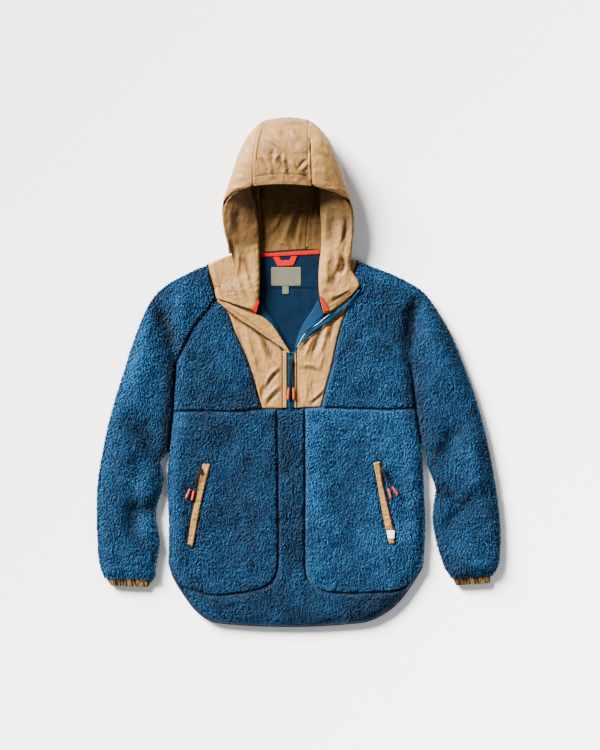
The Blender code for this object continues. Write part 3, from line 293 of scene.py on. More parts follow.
def metal_material():
    made = Shading("metal", Metallic=0.9, Roughness=0.34)
    wear = made.noise(260.0, 4.0, 0.65)
    colour = made.ramp(wear, (0.3, (0.006, 0.0063, 0.0066)), (0.75, (0.020, 0.0205, 0.0215)))
    roughness = made.maths("ADD", made.maths("MULTIPLY", wear, 0.2), 0.38)
    return made.finish(colour, made.bump(made.noise(900.0, 2.0, 0.5), 0.15, 0.1 * MM), roughness)


def cord_material():
    made = Shading("braid", Roughness=0.9, Specular_IOR_Level=0.1)
    rib = made.wave(900.0, "DIAGONAL", 0.5)
    colour = made.ramp(rib, (0.2, (0.0012, 0.0014, 0.002)), (0.9, (0.006, 0.0075, 0.010)))
    return made.finish(colour, made.bump(rib, 0.5, 0.3 * MM))


look_down()
light_and_floor()
FLEECE = fleece_material()
NYLON = nylon_material("nylon", (0.203, 0.1025, 0.0284), (0.166, 0.0825, 0.0207), 1.3)
# A darker copy of the nylon, as painted shade: the inside of the hood, its inner seam tape and the facings
# under the brim.
SHADED_NYLON = nylon_material("nylon_inside", (0.094, 0.0490, 0.0142), (0.060, 0.0302, 0.0083),
                              1.2, 0.05, 0.6)
CUFF_NYLON = nylon_material("nylon_cuff", (0.078, 0.0425, 0.0140), (0.056, 0.0295, 0.0093),
                            1.0, 0.12, 0.5)
LINING = woven_material("lining", (0.0001, 0.0058, 0.0160), (0.0001, 0.0040, 0.0118),
                        900.0, 900.0, 0.8, 0.1)
LINING_EDGE = woven_material("lining_edge", (0.0014, 0.0135, 0.036), (0.0009, 0.0095, 0.026),
                             900.0, 900.0, 0.8, 0.1)
CORAL = woven_material("coral_tape", (0.28, 0.0010, 0.0008), (0.23, 0.0008, 0.0006), 500.0, 500.0,
                       0.95, 0.2)
BINDING = woven_material("binding", (0.012, 0.015, 0.028), (0.005, 0.006, 0.012), 380.0, 380.0)
ZIP_TAPE = woven_material("zip_tape", (0.0018, 0.024, 0.055), (0.0012, 0.014, 0.035),
                          300.0, 700.0, 0.7, 0.4)
BLACK_TAPE = woven_material("black_tape", (0.014, 0.014, 0.016), (0.005, 0.005, 0.006), 500.0, 500.0)
GREIGE = woven_material("greige_label", (0.078, 0.073, 0.050), (0.064, 0.060, 0.041), 700.0, 700.0)
WHITE = woven_material("white_label", (0.55, 0.54, 0.52), (0.46, 0.455, 0.44), 700.0, 700.0)
TAN_THREAD = woven_material("tan_thread", (0.115, 0.055, 0.016), (0.075, 0.035, 0.010), 900.0, 900.0)
PIPING = woven_material("piping", (0.30, 0.34, 0.34), (0.20, 0.25, 0.26), 900.0, 900.0)
PLASTIC = plastic_material()
METAL = metal_material()
BRAID = cord_material()


# ---------------------------------------------------------------- lines and outlines
def smooth_line(rows, step):
    """Evenly spaced places on a Catmull-Rom curve through the rows."""
    rows = np.asarray(rows, float)
    padded = np.vstack([2 * rows[0] - rows[1], rows, 2 * rows[-1] - rows[-2]])
    t = np.linspace(0.0, 1.0, 12, endpoint=False)[:, None]
    fine = []
    for a, b, c, d in zip(padded, padded[1:], padded[2:], padded[3:]):
        fine.append(0.5 * (2 * b + (c - a) * t + (2 * a - 5 * b + 4 * c - d) * t ** 2
                           + (3 * b - a - 3 * c + d) * t ** 3))
    fine = np.vstack([*fine, rows[-1:]])
    return even_steps(fine, step)


def drawn(rows):
    """A line of a table, in metres."""
    return smooth_line(rows, 2.0) * MM


def normed(rows, least=1e-12):
    """The rows as unit vectors."""
    return rows / (np.linalg.norm(rows, axis=1)[:, None] + least)


def even_steps(line, step):
    """The line again, in steps of about one length; its first three columns are the places."""
    lengths = np.linalg.norm(np.diff(line[:, :3], axis=0), axis=1)
    lengths = np.concatenate([[0.0], np.cumsum(lengths)])
    count = max(1, int(round(lengths[-1] / step)))
    wanted = np.linspace(0.0, lengths[-1], count + 1)
    return np.stack([np.interp(wanted, lengths, column) for column in line.T], axis=1)


def turned(line):
    """Unit vectors square to a closed outline, to the left of its way."""
    ahead = normed(np.roll(line, -1, axis=0) - np.roll(line, 1, axis=0))
    return np.stack([-ahead[:, 1], ahead[:, 0]], axis=1)


def area_of(outline):
    after = np.roll(outline, -1, axis=0)
    return 0.5 * float(np.sum(outline[:, 0] * after[:, 1] - after[:, 0] * outline[:, 1]))


def welded(name):
    """A node's mesh with its split corners joined again."""
    shape = bmesh.new()
    shape.from_mesh(NODES[name].data)
    bmesh.ops.remove_doubles(shape, verts=shape.verts, dist=0.01 * MM)
    shape.normal_update()
    return shape


def top_loop(name):
    """The outline of a flat node's upper face, counterclockwise, in metres."""
    shape = welded(name)
    upper = {face for face in shape.faces if face.normal.z > 0.35}
    border = {}
    for side in shape.edges:
        if sum(face in upper for face in side.link_faces) == 1:
            for corner, other in (side.verts, reversed(side.verts)):
                border.setdefault(corner, []).append(other)
    start = next(iter(border))
    loop, before, at = [start], None, start
    while True:
        after = next(corner for corner in border[at] if corner is not before)
        if after is start:
            break
        loop.append(after)
        before, at = at, after
    places = np.array([corner.co[:2] for corner in loop])
    shape.free()
    return places if area_of(places) > 0 else places[::-1]


CORNER_TURN = math.radians(33)


def smooth_loop(loop, step):
    """A closed outline as smooth curves between its sharp corners."""
    before = loop - np.roll(loop, 1, axis=0)
    after = np.roll(loop, -1, axis=0) - loop
    turn = np.abs(np.arctan2(before[:, 0] * after[:, 1] - before[:, 1] * after[:, 0],
                             np.sum(before * after, axis=1)))
    corners = [index for index in range(len(loop)) if turn[index] > CORNER_TURN]
    if not corners:
        corners = [0]
    places = []
    for start, stop in zip(corners, corners[1:] + [corners[0] + len(loop)]):
        run = loop[np.arange(start, stop + 1) % len(loop)]
        places.append(smooth_line(run, step)[:-1])
    return np.vstack(places)


def distances(places, line, closed=False):
    """How far each place is from the nearest part of a line."""
    if closed:
        line = np.vstack([line, line[:1]])
    start, stop = line[:-1], line[1:]
    along = stop - start
    square = np.maximum(np.sum(along ** 2, axis=1), 1e-18)
    found = np.empty(len(places))
    for low in range(0, len(places), 2000):
        some = places[low:low + 2000, None, :]
        share = np.clip(np.sum((some - start) * along, axis=2) / square, 0.0, 1.0)
        away = np.linalg.norm(some - start - share[..., None] * along, axis=2)
        found[low:low + 2000] = away.min(axis=1)
    return found


def inside(places, outline):
    """Which places are within a closed outline."""
    x, y = places[:, 0][:, None], places[:, 1][:, None]
    ax, ay = outline[:, 0], outline[:, 1]
    bx, by = np.roll(ax, -1), np.roll(ay, -1)
    crosses = (ay > y) != (by > y)
    level = np.where(by == ay, 1e-18, by - ay)
    at = ax + (y - ay) * (bx - ax) / level
    return (np.sum(crosses & (x < at), axis=1) % 2).astype(bool)


def lattice(outline, step, wobble=0.0, seed=1):
    """Places in a triangular pattern over an outline's box, each shifted a little."""
    low, high = outline.min(axis=0), outline.max(axis=0)
    rows = np.arange(low[1], high[1], step * 0.866)
    columns = np.arange(low[0] - step, high[0] + step, step)
    x, y = np.meshgrid(columns, rows)
    x = x + (np.arange(len(rows)) % 2)[:, None] * step / 2
    places = np.stack([x.ravel(), y.ravel()], axis=1)
    random = np.random.default_rng(seed)
    return places + random.uniform(-wobble, wobble, places.shape) * step


def roll_on(x, y, length, seed, octaves=2):
    """Smooth uneven waves of about this length, from -1 to 1."""
    random = np.random.default_rng(seed)
    total = np.zeros_like(x)
    weight = 0.0
    for octave in range(octaves):
        share = 0.55 ** octave
        for _ in range(5):
            angle, phase = random.uniform(0, 2 * math.pi, 2)
            size = 2 * math.pi * 2 ** octave / (length * random.uniform(0.7, 1.4))
            total += share * np.sin(size * (x * math.cos(angle) + y * math.sin(angle)) + phase)
            weight += share
    return 2.0 * total / weight


def rounded(away, reach):
    """0 at an edge and 1 from reach on, along a quarter circle."""
    return np.sqrt(np.clip(1.0 - (1.0 - np.minimum(1.0, away / reach)) ** 2, 0.0, 1.0))


def circle(sides):
    """The cosine and sine of each of a circle's equal steps."""
    angles = [2 * math.pi * turn / sides for turn in range(sides)]
    return [(math.cos(angle), math.sin(angle)) for angle in angles]


def upright(places, heights):
    """Plan places with a height for each, or one for all."""
    return np.column_stack([places, np.broadcast_to(heights, len(places))])


def even_loop(outline, step):
    return even_steps(np.vstack([outline, outline[:1]]), step)[:-1]


def filling(border, normals, rings, share, grid, clear):
    """Places inside an outline: rows along its rim as (distance, every), and a grid in the middle."""
    places = []
    for ring, every in rings:
        row = border + normals * ring
        keep = inside(row, border) & (distances(row, border, closed=True) > share * ring)
        places.append(row[keep][::every])
    if len(grid):
        grid = grid[inside(grid, border)]
    if len(grid):
        grid = grid[distances(grid, border, closed=True) > clear]
    return np.vstack([*places, grid])


# A stroke: a curve through three places, its half width, and its amount at the middle line.
Stroke = namedtuple("Stroke", "x0 y0 x1 y1 x2 y2 half_width amount")


def strokes(table):
    """The strokes of each piece, from rows in the order of Stroke's columns."""
    return {name: [Stroke(*row) for row in rows] for name, rows in table.items()}


def stroke_line(stroke, step):
    return smooth_line([stroke[0:2], stroke[2:4], stroke[4:6]], step) * MM


def stroke_reach(places, stroke, line):
    """How far each place is from a stroke's line, in half widths."""
    return distances(places, line) / (stroke.half_width * MM)


def faded(places, line, least, gain):
    """A stroke's weight at each place: it fades towards the line's two ends."""
    nearest = np.argmin(np.linalg.norm(places[:, None] - line[None], axis=2), axis=1)
    along = nearest / (len(line) - 1)
    return np.clip(least + gain * np.minimum(along, 1.0 - along), 0.0, 1.0)


# ---------------------------------------------------------------- meshes and pieces
def mesh_of(name, corners, triangles, smooth=True):
    """A mesh from arrays of corners and triangles."""
    mesh = bpy.data.meshes.new(name)
    mesh.vertices.add(len(corners))
    mesh.vertices.foreach_set("co", np.asarray(corners, np.float32).ravel())
    mesh.loops.add(3 * len(triangles))
    mesh.loops.foreach_set("vertex_index", np.asarray(triangles, np.int32).ravel())
    mesh.polygons.add(len(triangles))
    mesh.polygons.foreach_set("loop_start", np.arange(0, 3 * len(triangles), 3, dtype=np.int32))
    mesh.polygons.foreach_set("use_smooth", np.full(len(triangles), smooth))
    mesh.update(calc_edges=True)
    mesh.validate()
    return mesh


def mark(mesh, name, values):
    """Keeps one number for each corner of a mesh, for its material to read."""
    layer = mesh.attributes.new(name, "FLOAT", "POINT")
    layer.data.foreach_set("value", np.asarray(values, np.float32).ravel())


def piece(name, mesh, material, slot, replaced=(), body="jacket"):
    """A new piece on a body, which stands for the nodes that it replaces."""
    mesh.materials.clear()
    mesh.materials.append(material)
    made = bpy.data.objects.new(name, mesh)
    bpy.context.scene.collection.objects.link(made)
    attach(made, body)
    if replaced:
        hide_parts(*replaced)
    return made


def triangles_in(outline, places):
    """Triangles that fill an outline and use the places inside it, as indices into both."""
    corners = [Vector(place) for place in np.vstack([outline, places]).tolist()]
    count = len(outline)
    sides = [(index, (index + 1) % count) for index in range(count)]
    _, _, faces, sources, _, _ = geometry.delaunay_2d_cdt(corners, sides, [], 1, 1e-8)
    index_of = [source[0] for source in sources]
    return [tuple(index_of[corner] for corner in face) for face in faces]


def slab_mesh(name, border, places, heights, level, flip=False):
    """A closed slab: a face of given heights through all places, over a level face or under it."""
    count, start = len(border), len(border) + len(places)
    corners = np.vstack([upright(np.vstack([border, places]), heights), upright(border, level)])
    faces = triangles_in(border, places)
    faces += [(start + c, start + b, start + a) for a, b, c in triangles_in(border, np.empty((0, 2)))]
    for index in range(count):
        after = (index + 1) % count
        if flip:
            faces += [(start + after, after, index), (start + index, start + after, index)]
        else:
            faces += [(start + index, start + after, after), (start + index, after, index)]
    return mesh_of(name, corners, [face[::-1] for face in faces] if flip else faces)


# Cut sizes of the narrow pieces and tubes: width all round, length, how it is held, what it lies on.
Cut = namedtuple("Cut", "piece width length held rests_on")


LEAST_SHARE = 0.3               # of its box, the least that a sheet's area may be


def declare_sheet(made, outline, rests_on, spare=1.04):
    """Works out a flat panel's cut: its box and its area, with a little ease, and keeps neither."""
    middle = outline - outline.mean(axis=0)
    turned_flat = middle @ np.linalg.eigh(middle.T @ middle)[1]
    wide, tall = (turned_flat.max(axis=0) - turned_flat.min(axis=0)) * spare
    area = abs(area_of(outline)) * spare ** 2
    if wide > tall:
        wide = min(wide, area / tall / LEAST_SHARE)
    else:
        tall = min(tall, area / wide / LEAST_SHARE)
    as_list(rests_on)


# ---------------------------------------------------------------- the fleece
FRONT_FLEECE = ["sleeve_front_left", "sleeve_front_right", "chest_left", "chest_right",
                "pocket_panel_left", "pocket_panel_right", "front_middle"]
BACK_FLEECE = ["back", "sleeve_back_left", "sleeve_back_right"]
INSETS = ["inset_left", "inset_right"]
SOFT_RAGLAN = ["sleeve_front_right", "chest_right"]
SIDES = ["left", "right"]
FRONT_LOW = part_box("front_middle")[0].z
FLEECE_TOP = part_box("front_middle")[1].z
BACK_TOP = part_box("back")[1].z
PILE = 3.4 * MM             # from the cloth up to the tips of the pile
EDGE_INSET = 2.4 * MM       # the pile stands out this far beyond the cloth at an open edge
EDGE_ROLL = 15 * MM
FRONT_ROLL = 26 * MM
SEAM_REACH = 7.0 * MM
SEAM_DEPTH = {"raglan": 6.0 * MM, "plain": 8.0 * MM}
SOFT_DEPTH = 2.2 * MM       # the right raglan seam hardly shows in the pile
SEAM_NEAR = 1.3 * MM        # two panels whose outlines are this near each other are sewn together
ARMPIT_Y = {"left": 15 * MM, "right": 21 * MM}  # below this the sleeve only lies beside the body
CELL = 6.0 * MM
TUFT_STEP = 3.75 * MM
UNDER_TUFT_STEP = 7.0 * MM
MIDDLE_Z = 10.2 * MM        # where the front and back layers meet at an edge

# Soft folds and swellings of the fleece, with their heights.
FLEECE_FOLDS = strokes({
    "sleeve_front_left": [
        (-287, 130, -262, 80, -250, 24, 17, -7.0), (-300, 122, -312, 40, -330, -60, 26, 4.0),
        (-287, -280, -322, -272, -333, -312, 15, -4.5), (-345, -234, -330, -322, -296, -372, 18, -3.5),
        (-322, -88, -302, -132, -284, -164, 19, -4.0), (-352, -110, -350, -200, -362, -300, 22, 3.5),
        (-300, -190, -306, -240, -300, -262, 15, 3.0), (-226, 170, -236, 120, -241, 70, 20, 3.0),
    ],
    "sleeve_front_right": [
        (236, 152, 225, 95, 219, 34, 14, -7.5), (262, 118, 280, 40, 305, -40, 26, 4.0),
        (311, -105, 300, -140, 287, -172, 18, -4.0), (367, -234, 314, -288, 286, -330, 18, -4.5),
        (274, -232, 300, -240, 322, -262, 13, -3.5), (340, -120, 352, -180, 350, -240, 20, 3.5),
        (330, -330, 350, -370, 350, -400, 22, 3.0),
    ],
    "chest_left": [
        (-195, 78, -150, 40, -120, -30, 30, 2.2), (-230, -30, -180, -52, -120, -60, 16, -1.6),
    ],
    "chest_right": [
        (120, 84, 150, 40, 170, -30, 34, 2.2), (90, -30, 150, -48, 215, -50, 16, -1.8),
        (140, 80, 180, 58, 214, 24, 9, 1.6),
    ],
    "pocket_panel_left": [
        (-236, -120, -240, -240, -232, -370, 16, 2.0), (-60, -110, -66, -240, -70, -380, 20, 1.6),
        (-150, -130, -140, -250, -150, -370, 26, -1.5),
    ],
    "pocket_panel_right": [
        (226, -120, 230, -240, 226, -370, 16, 2.0), (36, -110, 40, -240, 44, -380, 20, 1.6),
        (120, -130, 110, -250, 120, -370, 26, -1.5),
    ],
})
FOLD_GAIN = 1.7
# Painted shade in narrow creases of the fleece, with how dark each is.
FLEECE_CREASE_SHADES = strokes({
    "sleeve_front_right": [
        (234, 146, 223, 95, 219, 40, 4.5, 0.42), (231, 148, 223, 95, 220, 36, 2.2, 0.45),
        (219, 40, 224, 10, 230, -40, 6.0, 0.30), (262, -150, 268, -172, 284, -190, 5.0, 0.20),
        (300, -242, 322, -258, 342, -250, 5.0, 0.16), (330, -60, 352, -150, 372, -260, 34.0, 0.11),
    ],
    "sleeve_front_left": [
        (-285, 128, -264, 84, -252, 30, 5.0, 0.30), (-252, 20, -250, -16, -256, -60, 7.0, 0.30),
        (-258, -80, -262, -130, -278, -176, 8.0, 0.30), (-290, -262, -304, -276, -322, -284, 5.0, 0.20),
    ],
    "chest_left": [
        (-196, 60, -170, 30, -150, -8, 7.0, 0.10),
    ],
    "chest_right": [
        (130, 88, 165, 58, 200, 24, 6.0, 0.12),
    ],
    "pocket_panel_left": [
        (-96, -150, -118, -220, -132, -300, 12.0, 0.10),
    ],
    "pocket_panel_right": [
        (60, -170, 84, -250, 96, -330, 12.0, 0.10),
    ],
})
# Painted light: how much lighter than the rest each panel's pile is made, as it lies in the light.
PANEL_PAINTED_LIGHT = {"front_middle": -0.17, "pocket_panel_right": 0.12, "chest_left": -0.08,
               "chest_right": -0.03, "sleeve_front_right": -0.01, "sleeve_front_left": -0.02,
               "pocket_panel_left": -0.04}


def fold_height(places, name):
    """The height that a fleece panel's folds add at each place."""
    total = np.zeros(len(places))
    for fold in FLEECE_FOLDS.get(name, []):
        line = stroke_line(fold, 4.0)
        away = stroke_reach(places, fold, line)
        total += FOLD_GAIN * fold.amount * MM * faded(places, line, 0.35, 2.6) * np.exp(-away ** 2)
    return total


class Panel:
    """A flat panel: its outline, and which of its edges are open and which are seams."""

    def __init__(self, name, loops):
        self.name = name
        self.outline = loops[name]
        self.soft_raglan = name in SOFT_RAGLAN
        gaps = {other: distances(self.outline, loop, closed=True)
                for other, loop in loops.items() if other != name}
        others = list(gaps)
        nearest = np.argmin([gaps[other] for other in others], axis=0)
        side = "left" if name.endswith("left") else "right"
        self.kinds, self.beside = [], []
        for index, (place, choice) in enumerate(zip(self.outline, nearest)):
            other, gap = others[choice], gaps[others[choice]][index]
            sleeve = "sleeve" in name or "sleeve" in other
            beside = sleeve and place[1] < ARMPIT_Y[side if side in name else "left"]
            self.beside.append(beside and gap <= SEAM_NEAR)
            if gap > SEAM_NEAR or beside:
                self.kinds.append("open")
            else:
                self.kinds.append("raglan" if sleeve and other not in INSETS else "plain")

    def runs(self, kind):
        """The stretches of the outline of one kind, each as a line."""
        closed = np.vstack([self.outline, self.outline[:1]])
        chosen = [a == kind or b == kind for a, b in zip(self.kinds, self.kinds[1:] + self.kinds[:1])]
        lines = []
        for index, keep in enumerate(chosen):
            if keep and lines and lines[-1][-1] == index:
                lines[-1].append(index + 1)
            elif keep:
                lines.append([index, index + 1])
        return [closed[line] for line in lines]

    def seam_distance(self, places):
        """How far a place is from a seam or from the valley between a sleeve and the body."""
        away = np.minimum(self.away_from(places, "plain"), self.away_from(places, "raglan"))
        if any(self.beside):
            away = np.minimum(away, distances(places, self.outline[np.array(self.beside)]))
        return away

    def away_from(self, places, kind):
        lines = self.runs(kind)
        if not lines:
            return np.full(len(places), 1.0)
        return np.min([distances(places, line) for line in lines], axis=0)


def loops_of(names, step):
    return {name: smooth_loop(top_loop(name), step) for name in names}


FRONT_LOOPS = loops_of(FRONT_FLEECE + INSETS, 5.0 * MM)
BACK_LOOPS = loops_of(BACK_FLEECE, 5.0 * MM)
WELT_LOOPS = {side: smooth_loop(top_loop(f"pocket_welt_{side}"), 3.0 * MM) for side in SIDES}
ZIP_LOOPS = {side: smooth_loop(top_loop(f"pocket_zip_{side}"), 3.0 * MM) for side in SIDES}
OPENINGS = {f"pocket_panel_{side}": [WELT_LOOPS[side], ZIP_LOOPS[side]] for side in SIDES}
WELT_BED = 4.2 * MM         # how far the fleece is pressed down beside a pocket's opening
LONG_ROLL = 65 * MM         # a sleeve swells over this distance from its edge


def front_relief(panel):
    """The height of the tips of a front panel's pile."""
    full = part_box(panel.name)[1].z - FLEECE_TOP

    def height(places):
        x, y = places[:, 0], places[:, 1]
        top = FLEECE_TOP + 1.7 * MM * roll_on(x, y, 85 * MM, 5) + 0.9 * MM * roll_on(x, y, 26 * MM, 6)
        away = panel.away_from(places, "open")
        top = top + fold_height(places, panel.name)
        if full > 0.5 * MM:
            top = top + full * rounded(away, LONG_ROLL)
        top = MIDDLE_Z + 1.0 * MM + (top - MIDDLE_Z - 1.0 * MM) * rounded(away, FRONT_ROLL)
        for kind, depth in SEAM_DEPTH.items():
            seam = panel.away_from(places, kind)
            if kind == "raglan" and panel.soft_raglan:
                depth = SOFT_DEPTH
            top = top - depth * (1.0 - rounded(seam, SEAM_REACH))
        for loop in OPENINGS.get(panel.name, []):
            bed = np.where(inside(places, loop), 0.0, distances(places, loop, closed=True))
            under = FLEECE_TOP - WELT_BED
            share = np.clip((bed - 1.0 * MM) / (3.5 * MM), 0.0, 1.0)
            top = np.minimum(top, under + (top - under) * share)
        return top

    return height


TUFT_TURNS = (0.0, 2 * math.pi / 3, 4 * math.pi / 3)
TUFT_FACES = [(0, 1, 4), (0, 4, 3), (1, 2, 5), (1, 5, 4), (2, 0, 3), (2, 3, 5), (3, 4, 6), (4, 5, 6),
              (5, 3, 6), (0, 2, 1)]
# Painted shade: a tuft is dark at its root and lighter up to its tip.
TUFT_LIGHT = [0.20, 0.20, 0.20, 0.52, 0.52, 0.52, 0.86]     # from a tuft's root to its tip


def repeated(pattern, corners, count):
    """One pattern of triangles for each of many equal solids."""
    return (np.array(pattern)[None] + corners * np.arange(count)[:, None, None]).reshape(-1, 3)


def pile(name, tufts, seed, painted_tones=0.0, floor=None):
    """Many short curled tufts as one mesh, with each point's painted light and shade in an attribute."""
    random = np.random.default_rng(seed)
    count = len(tufts.roots)
    normals = tufts.normals
    angle = random.normal(0.0, 0.5, count) + np.where(random.random(count) < 0.1, math.pi, 0.0)
    nap = (tufts.naps * np.cos(angle)[:, None]
           + np.cross(normals, tufts.naps) * np.sin(angle)[:, None])
    lean = random.uniform(0.9, 1.9, count)[:, None]
    first = normed(normals + 0.45 * lean * nap, 0.0)
    second = normed(0.42 * normals + lean * nap, 0.0)
    across = normed(np.cross(second, normals), 1e-9)
    thick = np.cross(across, first)
    size = (tufts.lengths * random.uniform(0.75, 1.25, count))[:, None]
    wide = (tufts.radii * random.uniform(0.75, 1.25, count))[:, None]
    base = tufts.roots - normals * 0.6 * MM
    middle = tufts.roots + first * size * 0.52
    rings = [centre + wide * share * (math.cos(turn) * across + 0.6 * math.sin(turn) * thick)
             for centre, share in ((base, 1.0), (middle, 0.86)) for turn in TUFT_TURNS]
    corners = np.stack([*rings, middle + second * size * 0.5], axis=1)
    if floor is not None:
        corners[..., 2] = np.maximum(corners[..., 2], floor)
    mesh = mesh_of(name, corners.reshape(-1, 3), repeated(TUFT_FACES, 7, count))
    tone = (random.normal(0.0, 0.13, count) + painted_tones)[:, None]
    mark(mesh, "shade", np.clip(np.array(TUFT_LIGHT)[None] + tone, 0.0, 1.2))
    return piece(name, mesh, FLEECE, "blue_fleece")


def fleece_painted_light(panel, places):
    """The pile's painted light and shade: darker deep in folds, creases and valleys, lighter over rolls
    that face the lamp and darker over those that face away.
    """
    tone = 0.030 * fold_height(places, panel.name) / MM + PANEL_PAINTED_LIGHT[panel.name]
    for crease in FLEECE_CREASE_SHADES.get(panel.name, []):
        away = stroke_reach(places, crease, stroke_line(crease, 4.0))
        tone -= crease.amount * np.exp(-away ** 2)
    middle = (panel.outline[:, 0].min() + panel.outline[:, 0].max()) / 2
    lit = np.clip((middle - places[:, 0]) / (30 * MM), -1.0, 1.0)
    away = panel.away_from(places, "open")
    tone += np.where(lit > 0, 0.17, 0.13) * lit * np.exp(-((away - 9 * MM) / (13 * MM)) ** 2)
    if any(panel.beside):
        valley = distances(places, panel.outline[np.array(panel.beside)])
        deep, reach = (0.42, 15 * MM) if "sleeve" in panel.name else (0.30, 5 * MM)
        tone -= deep * np.exp(-(valley / reach) ** 2)
    return tone


def nap_field(places):
    """The way the pile was brushed: down the garment, in slowly turning whorls."""
    x, y = places[:, 0], places[:, 1]
    angle = math.radians(-112) + 0.5 * roll_on(x, y, 45 * MM, 21)
    return np.stack([np.cos(angle), np.sin(angle), np.zeros(len(places))], axis=1)


def relief_normals(height, places):
    step = 1.2 * MM
    dx, dy = slope_of(height, places, step)
    return normed(np.stack([-dx, -dy, np.ones(len(places))], axis=1), 0.0)


def slope_of(height, places, step):
    """How fast a height over the plan changes along X and along Y."""
    return [(height(places + way) - height(places - way)) / (2 * step)
            for way in (np.array([step, 0.0]), np.array([0.0, step]))]


# The tufts of a panel: places, ways up, ways of the nap, lengths and radii.
Tufts = namedtuple("Tufts", "roots normals naps lengths radii")


def square_to(naps, normals):
    """The naps turned square to the surface."""
    naps = naps - np.sum(naps * normals, axis=1)[:, None] * normals
    return normed(naps, 1e-9)


def edge_tufts(border, open_here, levels, random, length, radius):
    """The tufts that stand out sideways from an open edge."""
    outward = -turned(border)[open_here]
    rim = border[open_here]
    roots = np.vstack([upright(rim, z) for z, _ in levels])
    outs = np.vstack([normed(upright(outward, lift), 0.0) for _, lift in levels])
    naps = square_to(nap_field(roots[:, :2]), outs)
    roots = roots + random.normal(0.0, 0.5 * MM, roots.shape)
    return Tufts(roots, outs, naps, np.full(len(roots), length), np.full(len(roots), radius))


def joined(one, two):
    return Tufts(*[np.concatenate(pair) for pair in zip(one, two)])


def shown_seam(panel, places):
    """How far each place is from a seam that shows; the pile hides the right raglan's."""
    seam = panel.seam_distance(places)
    if panel.soft_raglan:
        hidden = panel.away_from(places, "raglan") < panel.away_from(places, "plain")
        seam = np.where(hidden, np.maximum(seam, 20 * MM), seam)
    return seam


RIM_ROWS = ((2.0 * MM, 1), (5.0 * MM, 2), (9.0 * MM, 2))
FRONT_EDGE = ((FRONT_LOW + 0.6 * MM, -0.25), (FRONT_LOW + 2.8 * MM, 0.3), (FRONT_LOW + 5.0 * MM, 0.7))
BACK_EDGE = ((BACK_TOP - 0.8 * MM, 0.15), (BACK_TOP - 3.0 * MM, -0.3), (BACK_TOP - 5.2 * MM, -0.6))
UP = np.array([0.0, 0.0, 1.0])
HOOD_MIDDLE_X, UNDER_HOOD_HALF, UNDER_HOOD_Y = -16 * MM, 110 * MM, 180 * MM  # no edge shows there


def pile_border(outline, open_here):
    """Where the cloth under the pile ends: the pile covers its open edges."""
    return outline + turned(outline) * np.where(open_here, EDGE_INSET, 0.1 * MM)[:, None]


def cloth_tops(height, places):
    return np.maximum(height(places) - PILE, FRONT_LOW + 0.8 * MM)


def front_cloth(panel, height, border):
    """The closed sheet under a front panel's pile."""
    grid = lattice(border, CELL, 0.12, 3)
    places = filling(border, turned(panel.outline), RIM_ROWS, 0.85, grid, 12.0 * MM)
    everywhere = np.vstack([border, places])
    tops = (cloth_tops(height, everywhere)
            + 0.35 * MM * roll_on(everywhere[:, 0], everywhere[:, 1], 7 * MM, 9))
    mesh = slab_mesh(f"{panel.name}_cloth", border, places, tops, FRONT_LOW)
    levels = np.full(len(mesh.vertices), 0.3)
    # Painted shade: the cloth is darker near the seams that show, and takes the pile's painted light and
    # shade.
    levels[:len(tops)] = 0.3 * np.clip(shown_seam(panel, everywhere) / (5.0 * MM), 0.0, 1.0)
    levels[:len(tops)] += fleece_painted_light(panel, everywhere)
    mark(mesh, "shade", np.clip(levels, 0.0, 1.0))
    return piece(f"{panel.name}_cloth", mesh, FLEECE, "blue_fleece", [panel.name])


def front_places(panel, border, seed):
    """Where a front panel's tufts grow: clear of its seams and of a pocket's opening."""
    grid = lattice(border, TUFT_STEP, 0.33, seed)
    grid = grid[inside(grid, border)]
    x, y = grid[:, 0], grid[:, 1]
    uneven = 0.6 * roll_on(x, y, 17 * MM, 77) + 0.5 * roll_on(x, y, 6 * MM, 78)
    clear = 1.45 * MM * np.clip(1.0 + uneven, 0.1, 2.0)
    if panel.soft_raglan:
        near = panel.away_from(grid, "raglan") < panel.away_from(grid, "plain")
        clear = np.where(near, 0.3 * MM, clear)
    keep = (distances(grid, border, closed=True) > 0.3 * MM) & (panel.seam_distance(grid) > clear)
    for loop in OPENINGS.get(panel.name, []):
        keep &= ~inside(grid, loop) & (distances(grid, loop, closed=True) > 1.0 * MM)
    return grid[keep]


def front_tufts(panel, height, grid):
    """A front panel's tufts; beside a seam they stand up and lean away, so the groove stays open."""
    dx, dy = slope_of(panel.seam_distance, grid, 1.0 * MM)
    slope = np.stack([dx, dy, np.zeros(len(grid))], axis=1)
    share = np.exp(-(shown_seam(panel, grid) / (4.5 * MM)) ** 2)[:, None]
    normals = relief_normals(height, grid) * (1.0 - share) + share * (UP + 0.45 * slope)
    normals = normed(normals, 0.0)
    naps = square_to(nap_field(grid) * (1.0 - share) + 0.8 * share * slope, normals)
    lengths = np.full(len(grid), 6.4 * MM) * (1.0 + 0.18 * roll_on(grid[:, 0], grid[:, 1], 16 * MM, 31))
    lengths *= 1.0 - 0.45 * np.exp(-(panel.seam_distance(grid) / (4.0 * MM)) ** 2)
    return Tufts(upright(grid, cloth_tops(height, grid)), normals, naps, lengths,
                 np.full(len(grid), 1.35 * MM))


